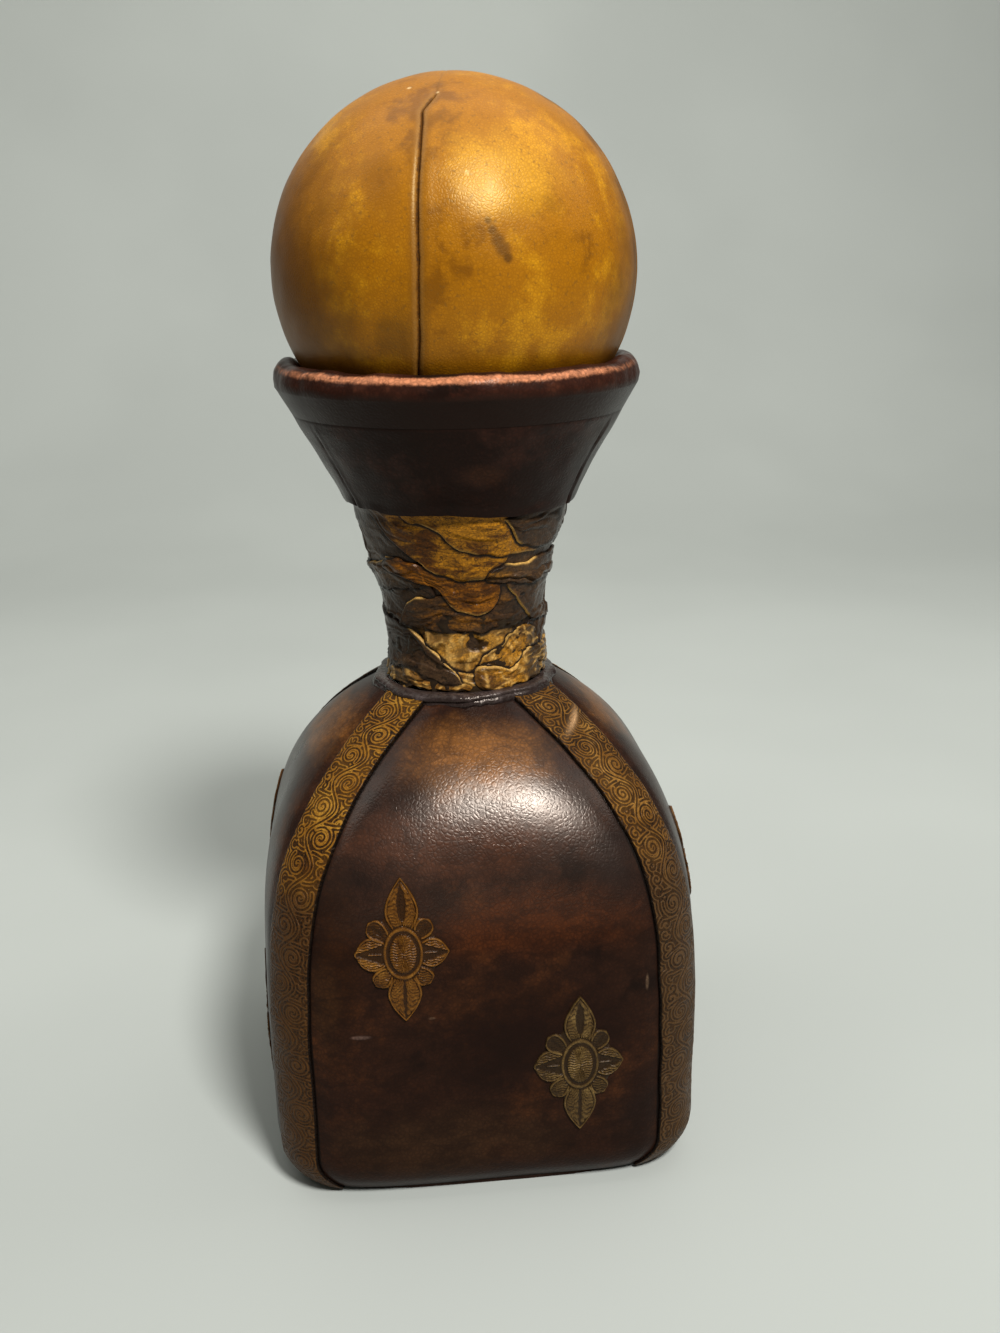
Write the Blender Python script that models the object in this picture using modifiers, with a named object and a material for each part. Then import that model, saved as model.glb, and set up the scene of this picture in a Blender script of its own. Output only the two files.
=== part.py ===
"""Leather-wrapped square decanter with a ball stopper, built as separate pieces.

Units are metres and +Z is up. The origin is the centre of the base, the front face looks
along -Y. A turn is an angle about Z in radians, from +X towards +Y, so the front is at 270.
"""
import math

import bmesh
import bpy
from mathutils import Matrix, Vector

# Clearances
GAP = 0.0003
WEAVE_SEAT = 0.0004
SEAM_GAP = 0.0007
MERGE_DISTANCE = 0.00001

# Glass bottle
SOLE_THICKNESS = 0.0010
GLASS_BASE_Z = SOLE_THICKNESS + GAP
GLASS_HALF = 0.0489
GLASS_FOOT_INSET = 0.0034
GLASS_FOOT_RISE = 0.0110
GLASS_WALL = 0.0030
GLASS_FLOOR = 0.0080
STRAIGHT_HEIGHT = 0.0437
SHOULDER_HEIGHT = 0.0656
NECK_FOOT_RADIUS = 0.0176
SHOULDER_POWER = 3.5
CORNER_POWER = 6.2
NECK_WAIST_RISE = 0.0104
NECK_WAIST_RADIUS = 0.01585
NECK_FLARE_HEIGHT = 0.0320
MOUTH_START_RADIUS = 0.0232
NECK_POWER = 1.4
MOUTH_SLOPE = 0.542
MOUTH_HEIGHT = 0.0293

# Leather skins on the body
PANEL_THICKNESS = 0.0014
STRIP_THICKNESS = 0.0008
STRIP_HALF_WIDTH = 0.0065
SOLE_OVERHANG = 0.0010
SOLE_POWER = 4.5

# Medallions, two on each face: distance to the right of the face's middle, and height
MEDALLION_PLACES = {"upper": (-0.0190, 0.0655), "lower": (0.0195, 0.0335)}
MEDALLION_TALL = 0.0172
MEDALLION_WIDE = 0.0100
MEDALLION_LOBE = 0.0108
MEDALLION_WAIST = 0.0068
MEDALLION_GROOVE = 0.0015
MEDALLION_EDGE = 0.0009
MEDALLION_BOSS = 0.0022
# Petals: middle and half-spread in degrees above the level
UPRIGHT_PETAL = (90, 30)
LEVEL_PETAL = (0, 27)
SLANTED_PETAL = (48, 20)

# Neck leather
FOOT_BAND_THICKNESS = 0.0042
FOOT_BAND_HEIGHT = 0.0030
SLEEVE_THICKNESS = 0.0008
WEAVE_THICKNESS = 0.0009
WEAVE_STRIPS = 5
WEAVE_COVER = 0.75
WEAVE_SLOPE = 0.0095
WEAVE_CROSS_TURN = math.radians(276)
WEAVE_CROSS_RISE = 0.0245
COVER_THICKNESS = 0.0012
RIM_LEATHER = 0.0016
RIM_INNER_TURN = math.radians(210)
RIM_OUTER_TURN = math.radians(-55)
CUFF_DEPTH = 0.0115
CUFF_THICKNESS = 0.0009

# Stopper
BALL_RADIUS = 0.0400
BALL_LEATHER = 0.0015
BALL_SEAM_TURN = math.radians(255)
GORES = 4
FOOT_DISC_TILT = math.radians(28)
DOWEL_RADIUS = 0.0080
DOWEL_DEPTH = 0.0250
TENON_RADIUS = 0.0050
TENON_LENGTH = 0.0120
CORK_RISE = 0.0150
CORK_DROP = 0.0020
CORK_CHAMFER = 0.0010

# Mesh fineness
ROUND_STEPS = 32
SHOULDER_STEPS = 8
FLARE_STEPS = 5
RIM_STEPS = 10
BALL_STEPS = 24
MEDALLION_SIDES = 24
MEDALLION_RINGS = (0.40, 0.72, 1.00)
PETAL_POINT = 1.6
ROW_SPREAD = 0.75
CORNER_STEPS = 24
HALVINGS = 40
SMALL_STEP = 0.00001

# Colour, roughness and metallic value of each finish
GLASS = ((0.55, 0.60, 0.56), 0.10, 0.0)
DARK_LEATHER = ((0.060, 0.022, 0.012), 0.38, 0.0)
GILT_LEATHER = ((0.36, 0.21, 0.055), 0.42, 0.2)
TAN_LEATHER = ((0.42, 0.23, 0.075), 0.45, 0.0)
COVER_LEATHER = ((0.030, 0.018, 0.014), 0.40, 0.0)
WRAP_LEATHER = ((0.15, 0.070, 0.022), 0.42, 0.0)
COPPER_LEATHER = ((0.22, 0.060, 0.025), 0.35, 0.1)
WOOD = ((0.45, 0.30, 0.16), 0.60, 0.0)
CORK = ((0.52, 0.36, 0.22), 0.80, 0.0)
CUT_LOOK = ((0.80, 0.80, 0.80), 0.50, 0.0)

# Worked out from the sizes above
SHOULDER_Z = GLASS_BASE_Z + STRAIGHT_HEIGHT
NECK_FOOT_Z = SHOULDER_Z + SHOULDER_HEIGHT
NECK_WAIST_Z = NECK_FOOT_Z + NECK_WAIST_RISE
MOUTH_START_Z = NECK_WAIST_Z + NECK_FLARE_HEIGHT
LIP_Z = MOUTH_START_Z + MOUTH_HEIGHT
RIM_Z = LIP_Z + GAP
RIM_ROLL = GLASS_WALL / 2 + RIM_LEATHER
RIM_RADIUS = MOUTH_START_RADIUS + MOUTH_HEIGHT * MOUTH_SLOPE - GLASS_WALL / 2
BALL_Z = RIM_Z + math.sqrt((BALL_RADIUS + RIM_ROLL + GAP) ** 2 - RIM_RADIUS ** 2)
CORE_RADIUS = BALL_RADIUS - BALL_LEATHER - GAP
SOLE_HALF = GLASS_HALF - GLASS_FOOT_INSET + SOLE_OVERHANG
PANEL_FACE = GAP + PANEL_THICKNESS
STRIP_LIFT = PANEL_FACE + GAP
STRIP_FACE = STRIP_LIFT + STRIP_THICKNESS
PANEL_TOP_Z = NECK_FOOT_Z - STRIP_FACE
SLEEVE_Z = NECK_FOOT_Z + FOOT_BAND_HEIGHT + GAP
COVER_Z = MOUTH_START_Z + GAP
COVER_LIFT = GAP + SLEEVE_THICKNESS + GAP
COVER_TOP_Z = RIM_Z - RIM_ROLL - GAP
CORK_TOP_Z = NECK_WAIST_Z + CORK_RISE
FACE_TURNS = {"right": 0.0, "back": math.pi / 2, "left": math.pi, "front": 1.5 * math.pi}

# Heights at which the body, its panels and its strips have a row of points
BODY_ROWS = [GLASS_BASE_Z, (2 * GLASS_BASE_Z + GLASS_FOOT_RISE) / 3, GLASS_FOOT_RISE, SHOULDER_Z]
BODY_ROWS += [SHOULDER_Z + (PANEL_TOP_Z - SHOULDER_Z) * (step / SHOULDER_STEPS) ** ROW_SPREAD
              for step in range(1, SHOULDER_STEPS + 1)]
NECK_ROWS = [NECK_FOOT_Z, (NECK_FOOT_Z + NECK_WAIST_Z) / 2]
NECK_ROWS += [NECK_WAIST_Z + NECK_FLARE_HEIGHT * step / FLARE_STEPS
              for step in range(FLARE_STEPS + 1)]


def clear_scene():
    """Remove every object of the open scene."""
    for item in list(bpy.data.objects):
        bpy.data.objects.remove(item, do_unlink=True)


def make_collection(name):
    """Return a new collection linked to the scene."""
    group = bpy.data.collections.new(name)
    bpy.context.scene.collection.children.link(group)
    return group


def finish(piece, look):
    """Give a piece its own material."""
    colour, roughness, metallic = look
    material = bpy.data.materials.new(piece.name + "_finish")
    material.use_nodes = True
    shader = material.node_tree.nodes["Principled BSDF"]
    shader.inputs["Base Color"].default_value = (*colour, 1.0)
    shader.inputs["Roughness"].default_value = roughness
    shader.inputs["Metallic"].default_value = metallic
    piece.data.materials.append(material)


def place(name, builder, look, group, parent=None):
    """Put a bmesh in the model as a named piece, carried by its parent if it has one."""
    data = bpy.data.meshes.new(name)
    builder.to_mesh(data)
    builder.free()
    piece = bpy.data.objects.new(name, data)
    group.objects.link(piece)
    finish(piece, look)
    piece.data.shade_smooth()
    piece.data.set_sharp_from_angle(angle=math.radians(35))
    if parent:
        piece.parent = parent
    return piece


# Shape of the glass

def glass_half(z):
    """Half-width of the untapered glass body across its flat faces."""
    climb = max(0.0, (z - SHOULDER_Z) / (NECK_FOOT_Z - SHOULDER_Z))
    return GLASS_HALF - (GLASS_HALF - NECK_FOOT_RADIUS) * climb ** SHOULDER_POWER


def foot_inset(z):
    """How far the glass draws in near its base."""
    rise = min(1.0, (z - GLASS_BASE_Z) / (GLASS_FOOT_RISE - GLASS_BASE_Z))
    return GLASS_FOOT_INSET * (1.0 - rise) ** 2


def section_power(z):
    """Exponent of the squared-circle section: high is square, 2 is round."""
    climb = min(1.0, max(0.0, (z - SHOULDER_Z) / (NECK_FOOT_Z - SHOULDER_Z)))
    return CORNER_POWER + (2.0 - CORNER_POWER) * climb


def squared_radius(half, power, turn):
    """Radius of a squared circle at a turn."""
    total = abs(math.cos(turn)) ** power + abs(math.sin(turn)) ** power
    return half / total ** (1.0 / power)


def wall_point(z, turn):
    """Point of the untapered glass body."""
    radius = squared_radius(glass_half(z), section_power(z), turn)
    return Vector((radius * math.cos(turn), radius * math.sin(turn), z))


def wall_normal(z, turn):
    """Outward direction of the untapered glass body."""
    along = wall_point(z, turn + SMALL_STEP) - wall_point(z, turn - SMALL_STEP)
    up = wall_point(z + SMALL_STEP, turn) - wall_point(z - SMALL_STEP, turn)
    return along.cross(up).normalized()


def body_point(z, turn, lift=0.0):
    """Point of the glass body, lifted off it by a distance."""
    radius = squared_radius(glass_half(z) - foot_inset(z), section_power(z), turn)
    base = Vector((radius * math.cos(turn), radius * math.sin(turn), z))
    return base + wall_normal(z, turn) * lift


def corner_angle(z, arc):
    """Angle from a corner at which the glass surface is an arc's length away."""
    reach = 0.0
    angle = 0.0
    step = math.pi / 4 / CORNER_STEPS
    before = body_point(z, math.pi / 4)
    for count in range(1, CORNER_STEPS + 1):
        after = body_point(z, math.pi / 4 + count * step)
        length = (after - before).length
        if reach + length >= arc:
            return angle + step * (arc - reach) / length
        reach += length
        angle += step
        before = after
    return angle


def quarter_turns(z, first_arc=0.0):
    """Angles from one corner to the next at which a row of the body has points."""
    edge = corner_angle(z, STRIP_HALF_WIDTH)
    near = [corner_angle(z, first_arc), edge / 2, edge]
    middle = [edge + (math.pi / 4 - edge) * share / 3 for share in (1, 2)]
    half = near + middle
    return half + [math.pi / 4] + [math.pi / 2 - angle for angle in reversed(half)]


def neck_radius(z):
    """Outer radius of the glass neck and mouth."""
    if z > MOUTH_START_Z:
        return MOUTH_START_RADIUS + (z - MOUTH_START_Z) * MOUTH_SLOPE
    if z > NECK_WAIST_Z:
        climb = (z - NECK_WAIST_Z) / (MOUTH_START_Z - NECK_WAIST_Z)
        return NECK_WAIST_RADIUS + (MOUTH_START_RADIUS - NECK_WAIST_RADIUS) * climb ** NECK_POWER
    drop = (NECK_WAIST_Z - z) / (NECK_WAIST_Z - NECK_FOOT_Z)
    return NECK_WAIST_RADIUS + (NECK_FOOT_RADIUS - NECK_WAIST_RADIUS) * drop ** 2


def bore_radius(z):
    """Inner radius of the glass neck and mouth."""
    return neck_radius(z) - GLASS_WALL


# Mesh builders

def slab(face, back):
    """Closed sheet between two like grids of points, the face grid on its outer side."""
    builder = bmesh.new()
    rows = len(face)
    columns = len(face[0])
    outer = [[builder.verts.new(point) for point in row] for row in face]
    inner = [[builder.verts.new(point) for point in row] for row in back]
    for row in range(rows - 1):
        for column in range(columns - 1):
            builder.faces.new((outer[row][column], outer[row][column + 1],
                               outer[row + 1][column + 1], outer[row + 1][column]))
            builder.faces.new((inner[row + 1][column], inner[row + 1][column + 1],
                               inner[row][column + 1], inner[row][column]))
    rim = [(0, column) for column in range(columns)]
    rim += [(row, columns - 1) for row in range(1, rows)]
    rim += [(rows - 1, column) for column in range(columns - 2, -1, -1)]
    rim += [(row, 0) for row in range(rows - 2, 0, -1)]
    for (row_a, column_a), (row_b, column_b) in zip(rim, rim[1:] + rim[:1]):
        builder.faces.new((outer[row_b][column_b], outer[row_a][column_a],
                           inner[row_a][column_a], inner[row_b][column_b]))
    return builder


def loft(rings):
    """Closed skin through rings of equal count, with its first and last ring filled."""
    builder = bmesh.new()
    loops = [[builder.verts.new(point) for point in ring] for ring in rings]
    for low, high in zip(loops, loops[1:]):
        for index in range(len(low)):
            following = (index + 1) % len(low)
            builder.faces.new((low[index], low[following], high[following], high[index]))
    builder.faces.new(list(reversed(loops[0])))
    builder.faces.new(loops[-1])
    return builder


def turned(name, outline, look, group, parent=None, origin_z=0.0):
    """Ring or rod turned about Z from (radius, height) points, clockwise from the top.

    A closed outline that stays off the axis makes a ring. One that starts and ends on the
    axis makes a solid rod.
    """
    builder = bmesh.new()
    points = [builder.verts.new((radius, 0.0, z - origin_z)) for radius, z in outline]
    for start, end in zip(points, points[1:]):
        builder.edges.new((start, end))
    if outline[0][0] > 0.0:
        builder.edges.new((points[-1], points[0]))
    piece = place(name, builder, look, group, parent)
    screw = piece.modifiers.new("turn", "SCREW")
    screw.steps = ROUND_STEPS
    screw.render_steps = ROUND_STEPS
    screw.use_merge_vertices = True
    screw.merge_threshold = MERGE_DISTANCE
    screw.use_smooth_shade = True
    return piece


def cut(piece, cutter):
    """Take a cutter away from a piece."""
    boolean = piece.modifiers.new("cut_" + cutter.name, "BOOLEAN")
    boolean.operation = "DIFFERENCE"
    boolean.object = cutter


def round_cutter(name, radius, low, high, group, parent):
    """Cylinder about the parent's Z axis, from one height to another, used as a cutter."""
    builder = bmesh.new()
    bmesh.ops.create_cone(builder, cap_ends=True, segments=ROUND_STEPS, radius1=radius,
                          radius2=radius, depth=high - low)
    bmesh.ops.translate(builder, verts=builder.verts, vec=(0.0, 0.0, (low + high) / 2))
    cutter = place(name, builder, CUT_LOOK, group, parent)
    cutter.display_type = "WIRE"
    cutter.hide_render = True
    return cutter


# Pieces of the bottle

def body_ring(z, lift=0.0):
    """One closed row of body points."""
    ring = []
    for quarter in range(4):
        corner = math.pi / 4 + quarter * math.pi / 2
        ring += [body_point(z, corner + angle, lift) for angle in quarter_turns(z)[:-1]]
    return ring


def round_ring(z, radius):
    """One closed round row with as many points as a body row."""
    count = 4 * (len(quarter_turns(SHOULDER_Z)) - 1)
    turns = [math.pi / 4 + index * 2 * math.pi / count for index in range(count)]
    return [Vector((radius * math.cos(turn), radius * math.sin(turn), z)) for turn in turns]


def make_glass(group):
    """Hollow glass bottle: square body, round neck, flared mouth."""
    floor_z = GLASS_BASE_Z + GLASS_FLOOR
    rings = [body_ring(z) for z in BODY_ROWS]
    rings += [round_ring(z, neck_radius(z)) for z in NECK_ROWS]
    lip_step = GLASS_WALL / 4
    rings.append(round_ring(LIP_Z - lip_step, neck_radius(LIP_Z - lip_step)))
    rings.append(round_ring(LIP_Z, neck_radius(LIP_Z) - lip_step))
    rings.append(round_ring(LIP_Z, bore_radius(LIP_Z) + lip_step))
    rings.append(round_ring(LIP_Z - lip_step, bore_radius(LIP_Z - lip_step)))
    rings += [round_ring(z, bore_radius(z)) for z in reversed(NECK_ROWS[1:])]
    rings.append(round_ring(NECK_FOOT_Z - GLASS_WALL / 2, bore_radius(NECK_FOOT_Z)))
    inner_rows = [z for z in BODY_ROWS if z > floor_z]
    rings += [body_ring(z, -GLASS_WALL) for z in reversed(inner_rows)]
    rings.append(body_ring(floor_z, -GLASS_WALL - GLASS_FOOT_INSET))
    place("glass_bottle", loft(rings), GLASS, group)


def body_grid(corner, lift, arcs):
    """Grid of body points beside or between corners, rows from the base to the panel top."""
    grid = []
    for z in BODY_ROWS:
        grid.append([body_point(z, corner + angle, lift) for angle in arcs(z)])
    return grid


def panel_turns(z):
    """Angles across a panel, from its one corner seam to the other."""
    return quarter_turns(z, SEAM_GAP / 2)


def make_panels(group):
    """Four leather panels that meet at the corners under the strips."""
    for side, middle in FACE_TURNS.items():
        corner = middle - math.pi / 4
        face = body_grid(corner, PANEL_FACE, panel_turns)
        back = body_grid(corner, GAP, panel_turns)
        place(side + "_panel", slab(face, back), DARK_LEATHER, group)


def strip_turns(z):
    """Angles across a corner strip, from its one edge over the corner to the other."""
    edge = corner_angle(z, STRIP_HALF_WIDTH)
    return [-edge, -edge / 2, 0.0, edge / 2, edge]


def make_corner_strips(group):
    """Four gilt strips over the corner seams."""
    corners = {"front_right": 7, "back_right": 1, "back_left": 3, "front_left": 5}
    for name, eighth in corners.items():
        corner = eighth * math.pi / 4
        face = body_grid(corner, STRIP_FACE, strip_turns)
        back = body_grid(corner, STRIP_LIFT, strip_turns)
        place(name + "_strip", slab(face, back), GILT_LEATHER, group)


def make_sole(group):
    """Flat leather sole that the bottle rests on."""
    turns = [index * 2 * math.pi / ROUND_STEPS for index in range(ROUND_STEPS)]
    rings = []
    for z in (0.0, SOLE_THICKNESS):
        radii = [squared_radius(SOLE_HALF, SOLE_POWER, turn) for turn in turns]
        rings.append([Vector((radius * math.cos(turn), radius * math.sin(turn), z))
                      for radius, turn in zip(radii, turns)])
    place("base_sole", loft(rings), DARK_LEATHER, group)


# Medallions

def medallion_reach(angle):
    """Outline of a medallion: pointed petals above and below, lobes beside them."""
    petals = [(UPRIGHT_PETAL, MEDALLION_TALL), (LEVEL_PETAL, MEDALLION_WIDE),
              (SLANTED_PETAL, MEDALLION_LOBE)]
    folded = math.degrees(math.atan2(abs(math.sin(angle)), abs(math.cos(angle))))
    reach = MEDALLION_WAIST
    for (middle, half_spread), length in petals:
        away = min(1.0, abs(folded - middle) / half_spread)
        petal = MEDALLION_WAIST + (length - MEDALLION_WAIST) * (1.0 - away ** PETAL_POINT)
        reach = max(reach, petal)
    return reach


def face_turn(across, z):
    """Turn from a face's middle at which the panel face is a distance across."""
    low = -math.pi / 4
    high = math.pi / 4
    for _ in range(HALVINGS):
        middle = (low + high) / 2
        if body_point(z, middle, PANEL_FACE).y < across:
            low = middle
        else:
            high = middle
    return (low + high) / 2


def medallion_point(place_at, middle, across, up, height):
    """Point of a medallion, a height off the panel face."""
    z = place_at[1] + up
    turn = face_turn(place_at[0] + across, z)
    point = body_point(z, turn, STRIP_LIFT + height)
    return Matrix.Rotation(middle, 3, "Z") @ point


def make_medallion(name, place_at, middle, group):
    """Gilt medallion laid on a panel: a raised oval boss inside a ring of petals."""
    heights = (MEDALLION_GROOVE, MEDALLION_GROOVE, MEDALLION_EDGE)
    angles = [index * 2 * math.pi / MEDALLION_SIDES for index in range(MEDALLION_SIDES)]
    builder = bmesh.new()

    def ring(share, height):
        """Ring of points at a share of the outline."""
        made = []
        for angle in angles:
            reach = share * medallion_reach(angle)
            made.append(builder.verts.new(medallion_point(
                place_at, middle, reach * math.cos(angle), reach * math.sin(angle), height)))
        return made

    top = [ring(share, height) for share, height in zip(MEDALLION_RINGS, heights)]
    bottom = [ring(share, 0.0) for share in MEDALLION_RINGS]
    crown = builder.verts.new(medallion_point(place_at, middle, 0.0, 0.0, MEDALLION_BOSS))
    seat = builder.verts.new(medallion_point(place_at, middle, 0.0, 0.0, 0.0))
    for index in range(MEDALLION_SIDES):
        following = (index + 1) % MEDALLION_SIDES
        builder.faces.new((crown, top[0][index], top[0][following]))
        builder.faces.new((seat, bottom[0][following], bottom[0][index]))
        for inner, outer in zip(top, top[1:]):
            builder.faces.new((inner[index], outer[index], outer[following], inner[following]))
        for inner, outer in zip(bottom, bottom[1:]):
            builder.faces.new((inner[following], outer[following], outer[index], inner[index]))
        builder.faces.new((top[-1][index], bottom[-1][index], bottom[-1][following],
                           top[-1][following]))
    place(name, builder, GILT_LEATHER, group)


def make_medallions(group):
    """Two medallions on each of the four faces."""
    for side, middle in FACE_TURNS.items():
        for level, place_at in MEDALLION_PLACES.items():
            make_medallion(f"{side}_medallion_{level}", place_at, middle, group)


# Neck leather

def make_foot_band(group):
    """Narrow ring at the foot of the neck, over the tops of the panels and strips."""
    low = NECK_FOOT_Z
    high = NECK_FOOT_Z + FOOT_BAND_HEIGHT
    inner = NECK_FOOT_RADIUS + GAP
    outer = inner + FOOT_BAND_THICKNESS
    soften = FOOT_BAND_HEIGHT / 4
    outline = [(inner, high), (outer - soften, high), (outer, high - soften),
               (outer, low + soften), (outer - soften, low), (inner, low)]
    turned("neck_foot_band", outline, COVER_LEATHER, group)


def shell_outline(heights, radius, lift, thickness):
    """Closed outline of a turned shell over a profile, clockwise from its top."""
    outer = [(radius(z) + lift + thickness, z) for z in reversed(heights)]
    inner = [(radius(z) + lift, z) for z in heights]
    return outer + inner


def make_sleeve(group):
    """Thin leather sleeve on the glass neck, under the wrap and the cover."""
    heights = [SLEEVE_Z] + [z for z in NECK_ROWS if z > SLEEVE_Z + SLEEVE_THICKNESS]
    heights.append(COVER_TOP_Z - RIM_ROLL)
    outline = shell_outline(heights, neck_radius, GAP, SLEEVE_THICKNESS)
    turned("neck_sleeve", outline, WRAP_LEATHER, group)


def weave_point(first, second, level):
    """Point of the wrap where two crossing strip lines meet, at a height off the sleeve."""
    turn = (first + second) / 2
    z = WEAVE_SLOPE * (first - second) / 2
    seat = neck_radius(z) + GAP + SLEEVE_THICKNESS + WEAVE_SEAT
    radius = seat + level
    return Vector((radius * math.cos(turn), radius * math.sin(turn), z))


def weave_strip(family, index):
    """One strip of the wrap, going over and under the strips that cross it."""
    pitch = 2 * math.pi / WEAVE_STRIPS
    half = pitch * WEAVE_COVER / 2
    climb = (NECK_WAIST_Z + WEAVE_CROSS_RISE) / WEAVE_SLOPE
    first_zero = WEAVE_CROSS_TURN + climb
    second_zero = WEAVE_CROSS_TURN - climb
    own_zero, other_zero = (first_zero, second_zero) if family == 0 else (second_zero, first_zero)
    own_middle = own_zero + index * pitch
    sign = -1 if family == 0 else 1
    ends = [own_middle + sign * 2 * z / WEAVE_SLOPE for z in (SLEEVE_Z, MOUTH_START_Z)]
    low = math.floor((min(ends) - other_zero) / pitch) - 1
    high = math.ceil((max(ends) - other_zero) / pitch) + 1
    face = []
    back = []
    for other in range(low, high + 1):
        over = (index + other + family) % 2 == 0
        level = WEAVE_THICKNESS + GAP if over else 0.0
        for shift in (-half, 0.0, half):
            lines = []
            for own_shift in (-half, 0.0, half):
                own = own_middle + own_shift
                cross = other_zero + other * pitch + shift
                pair = (own, cross) if family == 0 else (cross, own)
                lines.append(pair)
            face.append([weave_point(*pair, level + WEAVE_THICKNESS) for pair in lines])
            back.append([weave_point(*pair, level) for pair in lines])
    builder = slab(face, back)
    # Each quad is split along its upright diagonal, so that crossing strips share facets
    for quad in [made for made in builder.faces if len(made.verts) == 4]:
        corners = list(quad.verts)
        spans = [(corners[k + 2].co - corners[k].co).xy.length for k in (0, 1)]
        start = 0 if spans[0] < spans[1] else 1
        bmesh.utils.face_split(quad, corners[start], corners[start + 2])
    for z, direction in ((SLEEVE_Z, -1), (MOUTH_START_Z, 1)):
        everything = list(builder.verts) + list(builder.edges) + list(builder.faces)
        bmesh.ops.bisect_plane(builder, geom=everything, plane_co=(0, 0, z),
                               plane_no=(0, 0, direction), clear_outer=True)
        open_edges = [edge for edge in builder.edges if edge.is_boundary]
        bmesh.ops.contextual_create(builder, geom=open_edges)
    bmesh.ops.recalc_face_normals(builder, faces=builder.faces)
    return builder


def make_weave(group):
    """Criss-cross strips wound on the neck, five leaning each way."""
    for family, lean in enumerate(("falling", "rising")):
        for index in range(WEAVE_STRIPS):
            name = f"neck_wrap_{lean}_{index + 1}"
            place(name, weave_strip(family, index), WRAP_LEATHER, group)


def make_cover(group):
    """Flared leather cover between the wrap and the rim."""
    heights = [COVER_Z, COVER_TOP_Z]
    outline = shell_outline(heights, neck_radius, COVER_LIFT, COVER_THICKNESS)
    turned("neck_cover", outline, COVER_LEATHER, group)


def make_rim(group):
    """Rolled rim: a round bead with a channel that grips the glass lip."""
    outline = []
    for index in range(RIM_STEPS + 1):
        angle = RIM_INNER_TURN + (RIM_OUTER_TURN - RIM_INNER_TURN) * index / RIM_STEPS
        outline.append((RIM_RADIUS + RIM_ROLL * math.cos(angle),
                        RIM_Z + RIM_ROLL * math.sin(angle)))
    roof = LIP_Z + GAP
    side_gap = GAP * math.hypot(1.0, MOUTH_SLOPE)
    outer_foot = outline[-1][1]
    inner_foot = outline[0][1]
    outline.append((neck_radius(outer_foot) + side_gap, outer_foot))
    outline.append((neck_radius(roof) + side_gap, roof))
    outline.append((bore_radius(roof) - side_gap, roof))
    outline.append((bore_radius(inner_foot) - side_gap, inner_foot))
    turned("rim_roll", outline, COPPER_LEATHER, group)


def make_cuff(group):
    """Leather cuff turned down inside the mouth."""
    top = RIM_Z - RIM_ROLL
    heights = [top - CUFF_DEPTH, top]
    side_gap = GAP * math.hypot(1.0, MOUTH_SLOPE)
    outline = shell_outline(heights, bore_radius, -side_gap - CUFF_THICKNESS, CUFF_THICKNESS)
    turned("mouth_cuff", outline, COPPER_LEATHER, group)


# Stopper

def ball(radius):
    """Ball about its own centre."""
    builder = bmesh.new()
    bmesh.ops.create_uvsphere(builder, u_segments=BALL_STEPS, v_segments=BALL_STEPS // 2,
                              radius=radius)
    return builder


def trimmed_ball(radius, planes):
    """Open part of a ball's surface on the inner side of each plane."""
    builder = ball(radius)
    for point, normal in planes:
        everything = list(builder.verts) + list(builder.edges) + list(builder.faces)
        bmesh.ops.bisect_plane(builder, geom=everything, plane_co=point, plane_no=normal,
                               clear_outer=True)
    return builder


def thicken(piece, thickness):
    """Give an open surface a wall on its inner side."""
    wall = piece.modifiers.new("wall", "SOLIDIFY")
    wall.thickness = thickness
    wall.offset = -1.0


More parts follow.
